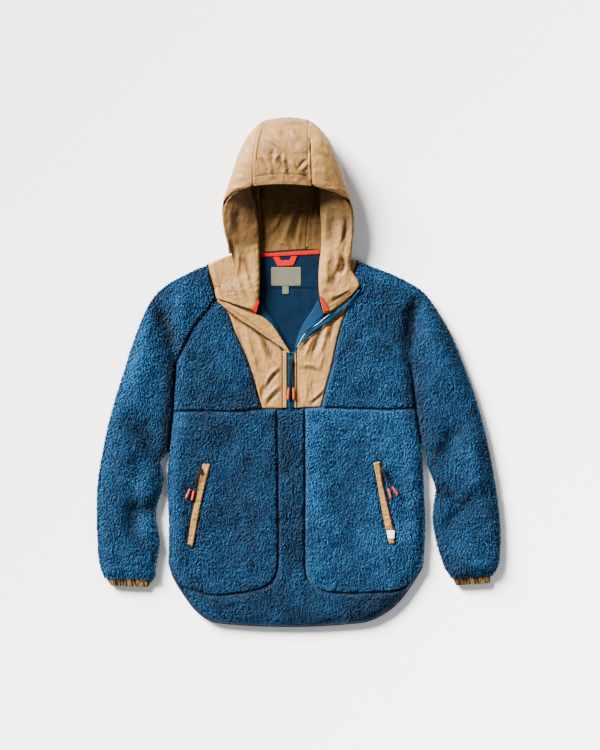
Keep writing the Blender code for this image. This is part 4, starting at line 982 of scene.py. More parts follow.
def front_fleece(name, seed):
    panel = Panel(name, FRONT_LOOPS)
    height = front_relief(panel)
    is_open = np.array(panel.kinds) == "open"
    border = pile_border(panel.outline, is_open)
    cloth = front_cloth(panel, height, border)
    tufts = front_tufts(panel, height, front_places(panel, border, seed))
    if is_open.any():
        fine = even_loop(border, 2.7 * MM)
        open_here = distances(fine, panel.outline[is_open]) < EDGE_INSET + 2.5 * MM
        open_here &= panel.seam_distance(fine) > 4.0 * MM
        tufts = joined(tufts, edge_tufts(fine, open_here, FRONT_EDGE, np.random.default_rng(seed),
                                         4.2 * MM, 1.35 * MM))
    tone = fleece_painted_light(panel, tufts.roots[:, :2])
    grown = pile(f"{name}_pile", tufts, seed + 100, tone)
    below = name.replace("front", "back") if "sleeve" in name else "back"
    declare_sheet(cloth, panel.outline, [below])


def back_fleece(name, seed):
    """A back panel: flat under the jacket, its pile pressed against the surface."""
    outline = BACK_LOOPS[name]
    near = np.min([distances(outline, loop, closed=True) for other, loop in BACK_LOOPS.items()
                   if other != name], axis=0)
    open_here = near > SEAM_NEAR
    border = pile_border(outline, open_here)

    def low(places):
        away = np.maximum(distances(places, outline[open_here]) - EDGE_INSET, 0.0)
        return 2.6 * MM + (BACK_TOP - 3.4 * MM) * (1.0 - rounded(away, EDGE_ROLL))

    def bottoms(places):
        return np.minimum(low(places), BACK_TOP - 0.8 * MM)

    grid = lattice(border, 1.6 * CELL, 0.12, 4)
    places = filling(border, turned(outline), RIM_ROWS, 0.85, grid, 13.0 * MM)
    mesh = slab_mesh(f"{name}_cloth", border, places, bottoms(np.vstack([border, places])), BACK_TOP, True)
    cloth = piece(f"{name}_cloth", mesh, FLEECE, "blue_fleece", [name])

    grid = lattice(border, UNDER_TUFT_STEP, 0.33, seed)
    grid = grid[inside(grid, border)]
    grid = grid[distances(grid, border, closed=True) > 1.0 * MM]
    tufts = Tufts(upright(grid, bottoms(grid)), -relief_normals(low, grid), nap_field(grid),
                  np.full(len(grid), 7.0 * MM), np.full(len(grid), 2.4 * MM))
    fine = even_loop(border, 3.2 * MM)
    edge = distances(fine, outline[open_here]) < EDGE_INSET + 2.5 * MM
    edge &= ~((fine[:, 1] > UNDER_HOOD_Y) & (np.abs(fine[:, 0] - HOOD_MIDDLE_X) < UNDER_HOOD_HALF))
    more = edge_tufts(fine, edge, BACK_EDGE, np.random.default_rng(seed), 4.6 * MM, 1.45 * MM)
    more.roots[:, 2] = np.maximum(more.roots[:, 2], 1.2 * MM)
    grown = pile(f"{name}_pile", joined(tufts, more), seed + 100, floor=0.1 * MM)
    declare_sheet(cloth, outline, [])


for number, panel_name in enumerate(FRONT_FLEECE):
    front_fleece(panel_name, 40 + number)
for number, panel_name in enumerate(BACK_FLEECE):
    back_fleece(panel_name, 60 + number)


# ---------------------------------------------------------------- folds of the nylon
# The folds of each nylon piece, with their heights. "inside" is the inner layer of a hollow piece.
NYLON_FOLDS = strokes({
    "hood_middle": [
        (-67, 469, -39, 448, -20, 425, 3.2, 2.0), (-64, 463, -36, 442, -17, 419, 2.4, -1.8),
        (-20, 425, -6, 404, 9, 383, 2.8, 1.8), (-73, 434, -58, 413, -54, 386, 2.4, 1.8),
        (-78, 428, -64, 408, -61, 388, 2.0, -1.3), (-50, 444, -54, 430, -50, 411, 2.6, -2.0),
        (-50, 411, -46, 424, -40, 432, 2.2, 1.5), (-35, 438, -36, 420, -24, 398, 2.4, -1.8),
        (-29, 434, -29, 411, -27, 392, 2.0, 1.7), (-23, 420, -21, 402, -14, 385, 1.9, -1.4),
        (-10, 417, 2, 405, 11, 386, 2.2, 1.7), (-4, 403, 8, 416, 17, 425, 2.1, -1.6),
        (4, 400, 12, 409, 19, 416, 1.8, 1.5), (-27, 494, -2, 497, 19, 490, 3.5, -0.9),
        (-16, 482, -10, 471, 2, 463, 3.8, 1.6), (-56, 486, -44, 478, -30, 476, 3.6, 1.2),
        (0, 452, 6, 440, 16, 436, 3.4, 1.3),
    ],
    "hood_side_left": [
        (-133, 383, -117, 388, -92, 383, 2.6, 1.6), (-127, 398, -106, 390, -95, 379, 2.4, -1.4),
        (-118, 424, -104, 414, -91, 408, 3.2, 1.3), (-104, 462, -94, 448, -88, 440, 3.6, -1.3),
        (-137, 372, -128, 366, -112, 368, 2.4, 1.2),
    ],
    "hood_side_right": [
        (65, 381, 80, 369, 95, 356, 3.0, 1.7), (55, 388, 72, 375, 88, 358, 2.6, -1.5),
        (30, 402, 44, 398, 60, 402, 3.0, 1.2), (34, 440, 52, 432, 68, 420, 3.8, -1.4),
        (33, 470, 44, 458, 60, 450, 3.6, 1.3),
    ],
    "hood_middle_inside": [
        (11, 360, -2, 300, -14, 250, 6.0, -2.4), (-2, 352, -16, 300, -30, 262, 7.0, 5.0),
        (-27, 358, -43, 304, -62, 280, 7.5, 4.4), (-60, 360, -62, 330, -66, 300, 6.0, 3.0),
        (12, 330, 4, 290, 0, 250, 5.0, 4.2), (-40, 262, -24, 254, -16, 244, 2.6, 2.4),
        (-20, 270, -8, 258, -4, 244, 2.4, 2.2),
    ],
    "hood_side_left_inside": [
        (-100, 350, -104, 320, -98, 300, 6.0, 4.0), (-118, 340, -116, 300, -104, 262, 7.0, 4.0),
    ],
    "hood_side_right_inside": [
        (44, 350, 40, 310, 34, 262, 6.0, 4.6), (58, 345, 60, 310, 50, 270, 5.0, 3.6),
        (28, 285, 36, 272, 44, 256, 2.6, 2.8), (26, 268, 32, 258, 38, 246, 2.2, 2.4),
    ],
    "collar_left": [
        (-136, 268, -130, 221, -137, 180, 4.2, -4.2), (-144, 262, -141, 221, -147, 186, 4.4, 2.4),
        (-120, 250, -122, 215, -128, 176, 4.8, 2.6), (-108, 238, -100, 200, -92, 160, 4.6, -2.0),
        (-104, 199, -95, 166, -86, 138, 4.0, 2.4), (-118, 186, -108, 160, -98, 138, 3.4, -1.8),
        (-158, 178, -148, 168, -140, 152, 2.0, 1.8), (-152, 182, -140, 170, -132, 150, 2.2, -1.7),
        (-160, 166, -152, 158, -148, 148, 1.8, -1.5), (-144, 176, -134, 160, -124, 142, 2.0, 1.8),
        (-140, 184, -128, 166, -116, 140, 2.2, -1.5), (-118, 330, -124, 300, -118, 270, 6.0, -1.6),
        (-138, 330, -136, 300, -140, 276, 4.2, 2.0),
    ],
    "collar_right": [
        (86, 232, 92, 214, 84, 196, 3.2, -3.4), (76, 206, 72, 190, 70, 172, 4.0, -3.0),
        (60, 250, 56, 210, 56, 160, 6.0, 2.6), (80, 250, 78, 222, 72, 196, 4.2, 2.4),
        (96, 250, 98, 222, 92, 188, 4.2, 2.2), (93, 308, 95, 285, 88, 262, 2.8, -4.0),
        (84, 296, 84, 270, 78, 250, 3.4, 2.6), (70, 320, 66, 285, 68, 250, 5.0, -2.4),
        (56, 340, 54, 300, 50, 260, 5.0, 2.4), (94, 182, 101, 176, 106, 168, 1.9, 1.8),
        (98, 188, 104, 180, 112, 174, 1.8, -1.5), (66, 150, 88, 158, 108, 172, 2.3, 1.6),
        (56, 136, 78, 148, 100, 164, 2.0, -1.4), (62, 176, 68, 160, 66, 144, 3.0, 1.7),
    ],
    "placket_left": [
        (-140, 132, -100, 108, -60, 74, 3.0, 1.2), (-128, 136, -108, 126, -94, 116, 2.0, -1.0),
        (-76, 100, -58, 84, -44, 66, 2.2, -0.9),
    ],
    "inset_left": [
        (-106, 84, -95, 45, -82, 1, 5.0, 2.6), (-118, 76, -108, 44, -96, 6, 3.2, -1.6),
        (-69, 67, -56, 36, -46, 22, 4.2, -2.8), (-82, 74, -70, 40, -58, 14, 4.2, 2.2),
        (-36, 4, -51, -10, -69, -38, 3.2, -2.2), (-38, 12, -54, -2, -74, -30, 3.4, 1.9),
        (-34, -34, -51, -49, -64, -66, 2.8, -2.0), (-36, -24, -54, -40, -70, -60, 3.0, 1.8),
        (-62, -4, -70, -28, -76, -60, 3.4, -1.4), (-86, -14, -80, -40, -76, -66, 3.0, 1.5),
        (-128, 96, -118, 74, -112, 50, 2.6, -1.5), (-140, 122, -130, 100, -120, 86, 2.8, 1.4),
        (-60, 26, -48, 12, -38, -6, 2.6, 1.5), (-172, 214, -166, 196, -162, 178, 4.0, 1.2),
        (-150, 130, -126, 110, -104, 96, 4.0, -2.6), (-116, 103, -90, 87, -66, 69, 4.0, -3.0),
        (-80, 79, -56, 63, -34, 44, 3.6, -3.0),
    ],
    "inset_right": [
        (104, 130, 74, 106, 46, 88, 3.4, -2.2), (52, 90, 28, 74, 6, 50, 3.0, -2.4),
        (45, 91, 39, 67, 26, 32, 4.6, -3.2), (58, 100, 52, 68, 40, 30, 4.6, 2.5),
        (69, 111, 67, 89, 62, 64, 3.4, -2.0), (30, 84, 22, 56, 10, 28, 3.6, 1.8),
        (6, 8, 32, 4, 45, -6, 3.4, -2.0), (8, 16, 30, 14, 48, 4, 3.4, 1.7),
        (52, 42, 44, 18, 40, -2, 3.0, 1.5), (50, -40, 32, -58, 22, -66, 3.0, -1.9),
        (52, -30, 36, -48, 20, -58, 3.0, 1.6), (12, -12, 16, -36, 12, -62, 3.6, 1.3),
        (30, -10, 28, -34, 32, -52, 3.8, -1.2),
    ],
})
# Seams of the hood in plan: the two that run over it, and the casing along the brim.
HOOD_SEAMS = [
    [(-68, 502), (-79, 476), (-85, 440), (-87, 406), (-88, 371)],
    [(23, 502), (21.5, 470), (21, 438), (21, 405), (24, 371)],
]
INNER_SEAMS = [
    [(-82, 362), (-78, 310), (-71, 244)],
    [(29, 362), (22.5, 310), (17, 246)],
]
BRIM = [(-149, 340), (-139, 355), (-85, 370.5), (-33, 374), (24, 370.5), (67, 360), (101, 342)]
BRIM_CASING = [(-134, 372), (-110, 381), (-85, 389), (-33, 394), (24, 389), (60, 380), (90, 366)]
UPPER_Z = 42 * MM
LAYER_BLEND = 16 * MM

# Where a piece lies in its own shade, with how deep, from 0 to 1.
SHADES = strokes({
    "inset_left": [
        (-146, 126, -121, 104, -99, 93, 3.2, 0.75), (-99, 93, -82, 80, -60, 66, 4.2, 0.92),
        (-62, 68, -46, 58, -33, 46, 2.6, 0.80), (-84, 80, -70, 62, -55, 40, 4.0, 0.50),
        (-58, 36, -52, 26, -44, 16, 3.0, 0.30), (-33, 6, -50, -8, -66, -32, 2.6, 0.38),
        (-33, -37, -50, -50, -66, -66, 2.4, 0.42), (-110, 80, -98, 46, -86, 6, 4.0, 0.22),
    ],
    "inset_right": [
        (108, 138, 76, 111, 46, 87, 3.0, 0.36), (48, 90, 26, 70, 6, 46, 3.0, 0.60),
        (44, 86, 36, 60, 24, 26, 4.0, 0.42), (70, 108, 66, 88, 60, 66, 3.4, 0.30),
        (4, 8, 18, 4, 36, 4, 2.6, 0.34), (52, -42, 36, -54, 22, -66, 2.6, 0.36),
    ],
    "collar_left": [
        (-124, 262, -128, 225, -136, 172, 7.0, 0.50), (-97, 344, -96, 322, -99, 300, 8.0, 0.40),
        (-101, 196, -98, 170, -94, 146, 3.0, 0.35), (-152, 172, -147, 160, -142, 150, 1.8, 0.40),
        (-146, 178, -138, 162, -132, 150, 1.8, 0.35), (-158, 158, -152, 152, -148, 144, 1.6, 0.35),
    ],
    "collar_right": [
        (76, 246, 80, 228, 79, 212, 3.0, 0.55), (62, 196, 57, 178, 50, 158, 3.6, 0.45),
        (95, 284, 93, 262, 87, 240, 2.4, 0.85), (88, 342, 92, 315, 92, 290, 7.0, 0.34),
        (66, 232, 70, 214, 84, 200, 2.4, 0.40), (87, 170, 97, 176, 106, 172, 1.6, 0.35),
        (70, 148, 90, 160, 106, 172, 2.0, 0.30),
    ],
    "hood_middle_inside": [
        (26, 362, 20, 310, 15, 246, 4.5, 0.70), (6, 350, -6, 300, -12, 268, 5.0, 0.45),
        (-80, 362, -76, 310, -70, 246, 4.5, 0.75), (-40, 350, -52, 310, -60, 290, 6.0, 0.35),
    ],
    "hood_side_left_inside": [
        (-90, 362, -86, 310, -78, 246, 4.0, 0.75),
    ],
    "hood_side_right_inside": [
        (34, 350, 29, 310, 24, 250, 3.0, 0.55), (48, 340, 44, 300, 36, 262, 4.0, 0.45),
    ],
})
# How dark the layer inside the hood becomes towards its crown: from y, full at y, depth.
INSIDE_SHADE = {"collar_left": (226, 272, 0.58), "collar_right": (254, 306, 0.58)}
CAVE_SHADE = (300, 368, 0.10)


def shaded(places, name):
    """How deep in its own shade each place of a piece lies, from 0 to 1."""
    total = np.zeros(len(places))
    for shade in SHADES.get(name, []):
        away = stroke_reach(places, shade, stroke_line(shade, 2.0))
        total = 1.0 - (1.0 - total) * (1.0 - shade.amount * np.exp(-away ** 2))
    return total


def towards_crown(places, start, full, depth):
    share = np.clip((places[:, 1] / MM - start) / (full - start), 0.0, 1.0)
    return depth * share * share * (3.0 - 2.0 * share)


def in_valleys(relief, depth=2.4 * MM, most=0.5):
    """The shade that a relief's hollows keep."""
    return most * np.clip(-relief / depth, 0.0, 1.0)


def together(*shades):
    light = np.ones_like(shades[0])
    for shade in shades:
        light = light * (1.0 - shade)
    return 1.0 - light


NYLON_GAIN = 1.5
FOLD_BOX = 25 * MM          # a nylon fold is not felt farther away than this


def folded(places, name):
    """The height that a nylon piece's folds add, with sharper crests than fleece has."""
    total = np.zeros(len(places))
    for fold in NYLON_FOLDS.get(name, []):
        line = stroke_line(fold, 2.0)
        low, high = line.min(axis=0) - FOLD_BOX, line.max(axis=0) + FOLD_BOX
        near = np.all((places > low) & (places < high), axis=1)
        if near.any():
            some = places[near]
            away = stroke_reach(some, fold, line)
            crest = faded(some, line, 0.2, 2.8) / (1.0 + away ** 2) ** 1.5
            total[near] += NYLON_GAIN * fold.amount * MM * crest
    return total


def along_line(places, line):
    """For each place, how far it is from a line and how far along that line it lies."""
    steps = even_steps(line, 1.5 * MM)
    away, at = np.full(len(places), 1.0), np.zeros(len(places))
    for low in range(0, len(places), 4000):
        gaps = np.linalg.norm(places[low:low + 4000, None] - steps[None], axis=2)
        nearest = gaps.argmin(axis=1)
        away[low:low + 4000] = gaps[np.arange(len(nearest)), nearest]
        at[low:low + 4000] = nearest * 1.5 * MM
    return away, at


def puckers(places, line, depth, seed, reach=9.0 * MM):
    """A sewn line: a shallow channel with short uneven gathers that cross it."""
    away, at = along_line(places, line)
    gathers = np.sin(2 * math.pi * at / (8.5 * MM) + 2.2 * roll_on(at, at * 0.0, 31 * MM, seed))
    strength = np.clip(0.5 + 0.9 * roll_on(at, at * 0.0, 42 * MM, seed + 1), 0.0, 1.2)
    channel = -depth * np.exp(-(away / (2.0 * MM)) ** 2)
    return channel + 0.55 * depth * gathers * strength * np.exp(-(away / reach) ** 2)


def creased_noise(x, y, length, seed):
    """Random creases: narrow valleys between broad swellings, from about -1 to 1."""
    one = 1.0 - 2.0 * np.abs(roll_on(x, y, length, seed))
    two = 1.0 - 2.0 * np.abs(roll_on(x, y, length * 0.45, seed + 1))
    return 0.7 * one + 0.3 * two


HARD_EDGE = math.radians(40)
SAME_FACE, SAME_SHAPE = math.radians(30), math.radians(50)


def caged(name, crease):
    """A node as an object of quads whose hard edges are marked to stay fairly crisp."""
    shape = welded(name)
    bmesh.ops.join_triangles(shape, faces=shape.faces[:], angle_face_threshold=SAME_FACE,
                             angle_shape_threshold=SAME_SHAPE, cmp_seam=False)
    edge_layer = shape.edges.layers.float.new("crease_edge")
    corner_layer = shape.verts.layers.float.new("crease_vert")
    for side in shape.edges:
        if len(side.link_faces) == 2 and side.calc_face_angle(0.0) > HARD_EDGE:
            side[edge_layer] = crease
    for corner in shape.verts:
        if sum(side[edge_layer] > 0 for side in corner.link_edges) == 3:
            corner[corner_layer] = 1.0
    mesh = bpy.data.meshes.new("cage")
    shape.to_mesh(mesh)
    shape.free()
    cage = bpy.data.objects.new("cage", mesh)
    bpy.context.scene.collection.objects.link(cage)
    return cage


def subdivided(name, levels, crease=1.0):
    """A node's shape as smooth quads: the mesh, its corners and their normals."""
    cage = caged(name, crease)
    for kind, level in (("SIMPLE", 1), ("CATMULL_CLARK", levels - 1)):
        modifier = cage.modifiers.new(kind, "SUBSURF")
        modifier.subdivision_type = kind
        modifier.levels = modifier.render_levels = level
    fine = bpy.data.meshes.new_from_object(cage.evaluated_get(bpy.context.evaluated_depsgraph_get()))
    mesh = cage.data
    bpy.data.objects.remove(cage)
    bpy.data.meshes.remove(mesh)
    fine.name = name
    read = []
    for column in ("co", "normal"):
        values = np.empty(3 * len(fine.vertices), np.float32)
        fine.vertices.foreach_get(column, values)
        read.append(values.reshape(-1, 3).astype(float))
    return fine, *read


def moved(mesh, corners):
    mesh.vertices.foreach_set("co", corners.astype(np.float32).ravel())
    mesh.polygons.foreach_set("use_smooth", np.ones(len(mesh.polygons), bool))
    mesh.update()
    return mesh


def declare_wall(made):
    """Measures half the closed surface of a shaped piece, and keeps nothing."""
    measured = sum(polygon.area for polygon in made.data.polygons) / 2


HOOD_X, CROWN_Y, HOOD_Z = -28 * MM, 430 * MM, 40 * MM
COLLAR_TILT = {"collar_left": 8.0 * MM, "collar_right": 5.0 * MM}
TILT_FROM_Y, TILT_FULL_Y = 190 * MM, 260 * MM
TILT_MIDDLE, TILT_HALF = {"collar_left": -118 * MM, "collar_right": 76 * MM}, 40 * MM
NO_LOWER = 0.15 * MM        # a hood's cloth is held above the floor


def collar_tilt(name, corners):
    """The turned-out fronts rise outwards, more so where they become the hood's inside."""
    outward = -1.0 if name.endswith("left") else 1.0
    share = np.clip((corners[:, 1] - TILT_FROM_Y) / (TILT_FULL_Y - TILT_FROM_Y), 0.0, 1.0)
    across = np.clip(outward * (corners[:, 0] - TILT_MIDDLE[name]) / TILT_HALF, -1.0, 1.0)
    return COLLAR_TILT[name] * share * across


def seam_gathers(plan, seams, depth, seed, step):
    return sum(puckers(plan, drawn(seam), depth, seed + step * number)
               for number, seam in enumerate(seams))


def outer_relief(name, corners, seed):
    """The outer layer's rise and its shade."""
    plan = corners[:, :2]
    rise = (1.7 if name == "hood_middle" else 1.1) * folded(plan, name)
    # Painted shade: the hood's middle panel is a little darker all over.
    base = np.full(len(plan), 0.27 if name == "hood_middle" else 0.0)
    shade = together(in_valleys(rise), shaded(plan, name), base)
    rise += 0.8 * MM * creased_noise(corners[:, 0], corners[:, 1] + 1.5 * corners[:, 2], 34 * MM, seed)
    return rise, shade


def inner_relief(name, corners, seed):
    """The inner layer's rise and its shade."""
    plan = corners[:, :2]
    rise = folded(plan, name + "_inside")
    shade = together(in_valleys(rise), shaded(plan, name + "_inside"), towards_crown(plan, *CAVE_SHADE))
    rise += 1.1 * MM * creased_noise(corners[:, 0] * 1.5, corners[:, 1] * 0.5, 30 * MM, seed + 3)
    return rise, shade


def hood_piece(name, levels, seed):
    """A padded nylon piece of the hood, with its folds, its gathers at the seams and its inside, whose
    faces take the darker copy of the nylon as painted shade.
    """
    mesh, corners, normals = subdivided(name, levels)
    plan = corners[:, :2]
    out = normed(np.stack([corners[:, 0] - HOOD_X, np.maximum(corners[:, 1] - CROWN_Y, 0.0),
                           1.4 * (corners[:, 2] - HOOD_Z)], axis=1), 1e-9)
    upper = np.clip((corners[:, 2] - UPPER_Z) / LAYER_BLEND + 0.5, 0.0, 1.0)
    relief, outer_shade = outer_relief(name, corners, seed)
    under, inner_shade = inner_relief(name, corners, seed)
    relief += seam_gathers(plan, [*HOOD_SEAMS, BRIM_CASING], 1.0 * MM, seed, 10)
    under += seam_gathers(plan, INNER_SEAMS, 1.4 * MM, seed + 40, 1)
    facing = np.sum(normals * out, axis=1)
    corners = corners + out * (relief * upper - under * (1.0 - upper))[:, None]
    made = finished_hood(name, mesh, corners, np.where(facing < 0.0, inner_shade, outer_shade))
    # The inner faces take the darker copy of the nylon: painted shade inside the hood.
    made.data.materials.append(SHADED_NYLON)
    for polygon in made.data.polygons:
        inner = sum(facing[corner] for corner in polygon.vertices) < 0
        polygon.material_index = 1 if inner else 0
    return made


def collar_piece(name, levels, seed):
    """A turned-out front of the hood, which becomes its inside further up."""
    mesh, corners, _ = subdivided(name, levels)
    rise, shade = outer_relief(name, corners, seed)
    shade = together(shade, towards_crown(corners[:, :2], *INSIDE_SHADE[name]))
    rise += collar_tilt(name, corners)
    return finished_hood(name, mesh, corners + UP * rise[:, None], shade)


def finished_hood(name, mesh, corners, shade):
    corners[:, 2] = np.maximum(corners[:, 2], NO_LOWER)
    mark(moved(mesh, corners), "crease", shade)
    made = piece(name + "_cloth", mesh, NYLON, slot_of(name), [name])
    declare_wall(made)
    return made


def slot_of(name):
    return next(row["material_slot"] for row in frame["record"]["subparts"] if row["node"] == name)


HOOD = [hood_piece("hood_middle", 3, 200), hood_piece("hood_side_left", 2, 207),
        hood_piece("hood_side_right", 2, 214)]
COLLARS = [collar_piece("collar_left", 2, 221), collar_piece("collar_right", 2, 228)]


# ---------------------------------------------------------------- flat nylon, tapes and linings
LOWER_SHADE = 0.7           # how deep in its shade a flat piece's underside lies


def flat_piece(name, material, step, edge, relief, corner=0.0, shade=None, grow=0.0):
    """A flat node again as finer cloth: its edges rolled over, its face in relief."""
    loop = top_loop(name)
    border = smooth_loop(loop, step) if not corner else rounded_corners(loop, corner, step)
    border = border - turned(border) * grow
    low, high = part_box(name)[0].z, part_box(name)[1].z
    grid = lattice(border, step, 0.1, 8)
    places = filling(border, turned(border), ((0.35 * edge, 1), (edge, 1)), 0.8, grid, edge + 0.45 * step)
    everywhere = np.vstack([border, places])
    room = high - low
    tops = low + 0.35 * room + (0.65 * room + relief(everywhere)) * rounded(
        distances(everywhere, border, closed=True), edge)
    mesh = slab_mesh(name, border, places, np.maximum(tops, low + 0.25 * room), low)
    if shade:
        mark(mesh, "crease", np.concatenate([shade(everywhere), np.full(len(border), LOWER_SHADE)]))
    return piece(name + "_cloth", mesh, material, slot_of(name), [name]), border


def rounded_corners(loop, radius, step):
    """A closed outline with its corners cut round."""
    places = []
    for index, corner in enumerate(loop):
        before, after = loop[index - 1], loop[(index + 1) % len(loop)]
        to, on = before - corner, after - corner
        reach = min(radius, 0.45 * np.linalg.norm(to), 0.45 * np.linalg.norm(on))
        first = corner + to / np.linalg.norm(to) * reach
        last = corner + on / np.linalg.norm(on) * reach
        for t in (0.0, 0.25, 0.5, 0.75, 1.0):
            places.append((1 - t) ** 2 * first + 2 * t * (1 - t) * corner + t ** 2 * last)
    return even_loop(np.array(places), step)


def calm(amount, length, seed):
    return lambda places: amount * roll_on(places[:, 0], places[:, 1], length, seed)


INSET_SEAM_X = (-36.5, 1.2)


def inset_relief(name, seed):
    seams = [drawn([(x, 36), (x, -20), (x, -71)]) for x in INSET_SEAM_X]

    def height(places):
        total = folded(places, name) + 0.5 * MM * creased_noise(*places.T, 30 * MM, seed)
        for number, seam in enumerate(seams):
            total += puckers(places, seam, 0.8 * MM, seed + number, 7 * MM)
        return total

    return height


def inset_shade(name):
    return lambda places: together(in_valleys(folded(places, name), 3.5 * MM, 0.35), shaded(places, name))


for number, name in enumerate(INSETS):
    made, border = flat_piece(name, NYLON, 2.5 * MM, 3.2 * MM, inset_relief(name, 300 + 9 * number),
                              shade=inset_shade(name))
    declare_sheet(made, border, ["lining_back"])

LINING_RELIEF = {
    "lining_back": lambda places: (
        0.5 * MM * roll_on(places[:, 0] * 1.6, places[:, 1] * 0.6, 40 * MM, 71) - 0.4 * MM),
    "lining_yoke": calm(0.35 * MM, 35 * MM, 72),
}
for name, relief in LINING_RELIEF.items():
    made, border = flat_piece(name, LINING, 4.5 * MM, 1.5 * MM, relief)
    declare_sheet(made, border, ["back"])

# Plain flat pieces: their step and rolled edge, their relief's depth, length and seed, the radius
# of their corners, and what they rest on where their cut is worked out here.
Flat = namedtuple("Flat", "name material step edge depth length seed corner rests_on")
for row in [
    Flat("zip_strip_left", NYLON, 1.6, 1.4, 0.25, 14, 73, 0, None),
    Flat("zip_strip_right", NYLON, 1.6, 1.4, 0.25, 14, 73, 0, None),
    Flat("front_zip", ZIP_TAPE, 2.4, 0.8, 0.05, 20, 74, 0, []),
    Flat("neck_tape", CORAL, 2.2, 1.0, 0.2, 18, 75, 0, None),
    Flat("neck_label", GREIGE, 2.0, 0.6, 0.15, 25, 76, 3, ["lining_yoke"]),
    Flat("size_label", GREIGE, 1.5, 0.4, 0.05, 12, 77, 0.8, ["lining_back"]),
    Flat("pocket_label", WHITE, 1.2, 0.4, 0.1, 12, 78, 0.8, None),
    Flat("hem_binding_front", BINDING, 3.2, 2.2, 0.3, 16, 79, 0, None),
    Flat("hem_binding_back", BINDING, 3.2, 2.2, 0.3, 16, 79, 0, None),
]:
    made, border = flat_piece(row.name, row.material, row.step * MM, row.edge * MM,
                              calm(row.depth * MM, row.length * MM, row.seed), row.corner * MM)
    if row.rests_on is not None:
        declare_sheet(made, border, row.rests_on)


def welt_creases(places):
    x, y = places[:, 0], places[:, 1]
    return creased_noise(x * 0.5 + 0.4 * y, y * 1.3, 34 * MM, 81)


def welt_relief(places):
    rise = 1.3 * MM * welt_creases(places) + 0.6 * MM * roll_on(places[:, 0], places[:, 1], 34 * MM, 82)
    low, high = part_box("pocket_label")
    beyond = np.maximum(np.array(low)[:2] - places, places - np.array(high)[:2]).max(axis=1)
    return np.where(beyond < 2.5 * MM, np.minimum(rise, -0.9 * MM), rise)


def welt_shade(loop):
    def shade(places):
        rim = np.exp(-(distances(places, loop, closed=True) / (1.1 * MM)) ** 2)
        return together(0.35 * rim, 0.42 * np.clip(-1.8 * welt_creases(places) - 0.35, 0.0, 1.0))

    return shade


for side in SIDES:
    made, border = flat_piece(f"pocket_welt_{side}", NYLON, 1.3 * MM, 2.2 * MM, welt_relief,
                              shade=welt_shade(WELT_LOOPS[side]), grow=0.9 * MM)
    declare_sheet(made, border, [f"pocket_panel_{side}"])
    flat_piece(f"pocket_zip_{side}", BLACK_TAPE, 1.5 * MM, 0.7 * MM, calm(0.05 * MM, 10 * MM, 83))


def soft_piece(name, material, levels, relief=None, crease=1.0):
    """A shaped node again as softer cloth, cut finer, with its relief as a rise."""
    mesh, corners, _ = subdivided(name, levels, crease)
    if relief:
        corners = corners + UP * relief(corners)[:, None]
    moved(mesh, corners)
    return piece(name + "_cloth", mesh, material, slot_of(name), [name])


def placket_relief(corners):
    plan = corners[:, :2]
    small = 0.35 * MM * creased_noise(plan[:, 0], plan[:, 1], 20 * MM, 91)
    return folded(plan, "placket_left") + small


soft_piece("placket_left", NYLON, 3, placket_relief)
soft_piece("placket_right", ZIP_TAPE, 3)
for side in SIDES:
    soft_piece(f"lining_edge_{side}", LINING_EDGE, 2)
    soft_piece(f"tape_end_{side}", CORAL, 3)
soft_piece("hanger_loop", CORAL, 3, crease=0.95)


# ---------------------------------------------------------------- cuffs
CUFF_GATHER, CUFF_RISE = 2.6 * MM, 0.4 * MM     # how deep its gathers are, and how far they may rise


def cuff_cloth(side):
    """An elastic cuff: its nylon drawn into uneven gathers that run up the sleeve."""
    name = f"cuff_{side}"
    mesh, corners, normals = subdivided(name, 3)
    middle = corners.mean(axis=0)
    at = corners[:, 0] - middle[0]
    lean = 0.25 * (corners[:, 1] - middle[1])
    wander = 2.0 * MM * roll_on(at + lean, corners[:, 1], 26 * MM, 95)
    share = roll_on(at + lean + wander, corners[:, 1] * 0.15, 13 * MM, 96)
    gather = CUFF_GATHER * (0.35 - np.abs(share) * 1.9)
    face = np.clip(np.abs(normals[:, 2]) * 1.4, 0.0, 1.0)
    outward = np.where(corners[:, 2] > middle[2], 1.0, -1.0)
    inner = np.sign(normals[:, 2]) * outward < 0
    shift = np.minimum(gather, CUFF_RISE) * face * outward * np.where(inner, 0.35, 1.0)
    corners[:, 2] = np.maximum(corners[:, 2] + shift, 0.2 * MM)
    moved(mesh, corners)
    # Painted shade in the gathers' valleys.
    mark(mesh, "crease", 0.85 * np.clip(1.7 * np.abs(share) - 0.3, 0.0, 1.0))
    piece(name + "_cloth", mesh, CUFF_NYLON, slot_of(name), [name])


for side in SIDES:
    cuff_cloth(side)


# ---------------------------------------------------------------- sewing
def tree_of(*objects):
    """A search tree over the finished faces of some pieces."""
    corners, faces = [], []
    for made in objects:
        start = len(corners)
        corners.extend(tuple(corner.co) for corner in made.data.vertices)
        faces.extend(tuple(start + index for index in face.vertices) for face in made.data.polygons)
    return BVHTree.FromPolygons(corners, faces)


def cloth_tree():
    return tree_of(*[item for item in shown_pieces() if item.name.endswith("_cloth")])


DOWN = Vector((0.0, 0.0, -1.0))
ABOVE_ALL = 0.2


def met(tree, x, y, height=ABOVE_ALL):
    """Where a ray straight down meets a surface, or None."""
    return tree.ray_cast(Vector((x, y, height)), DOWN)[0]


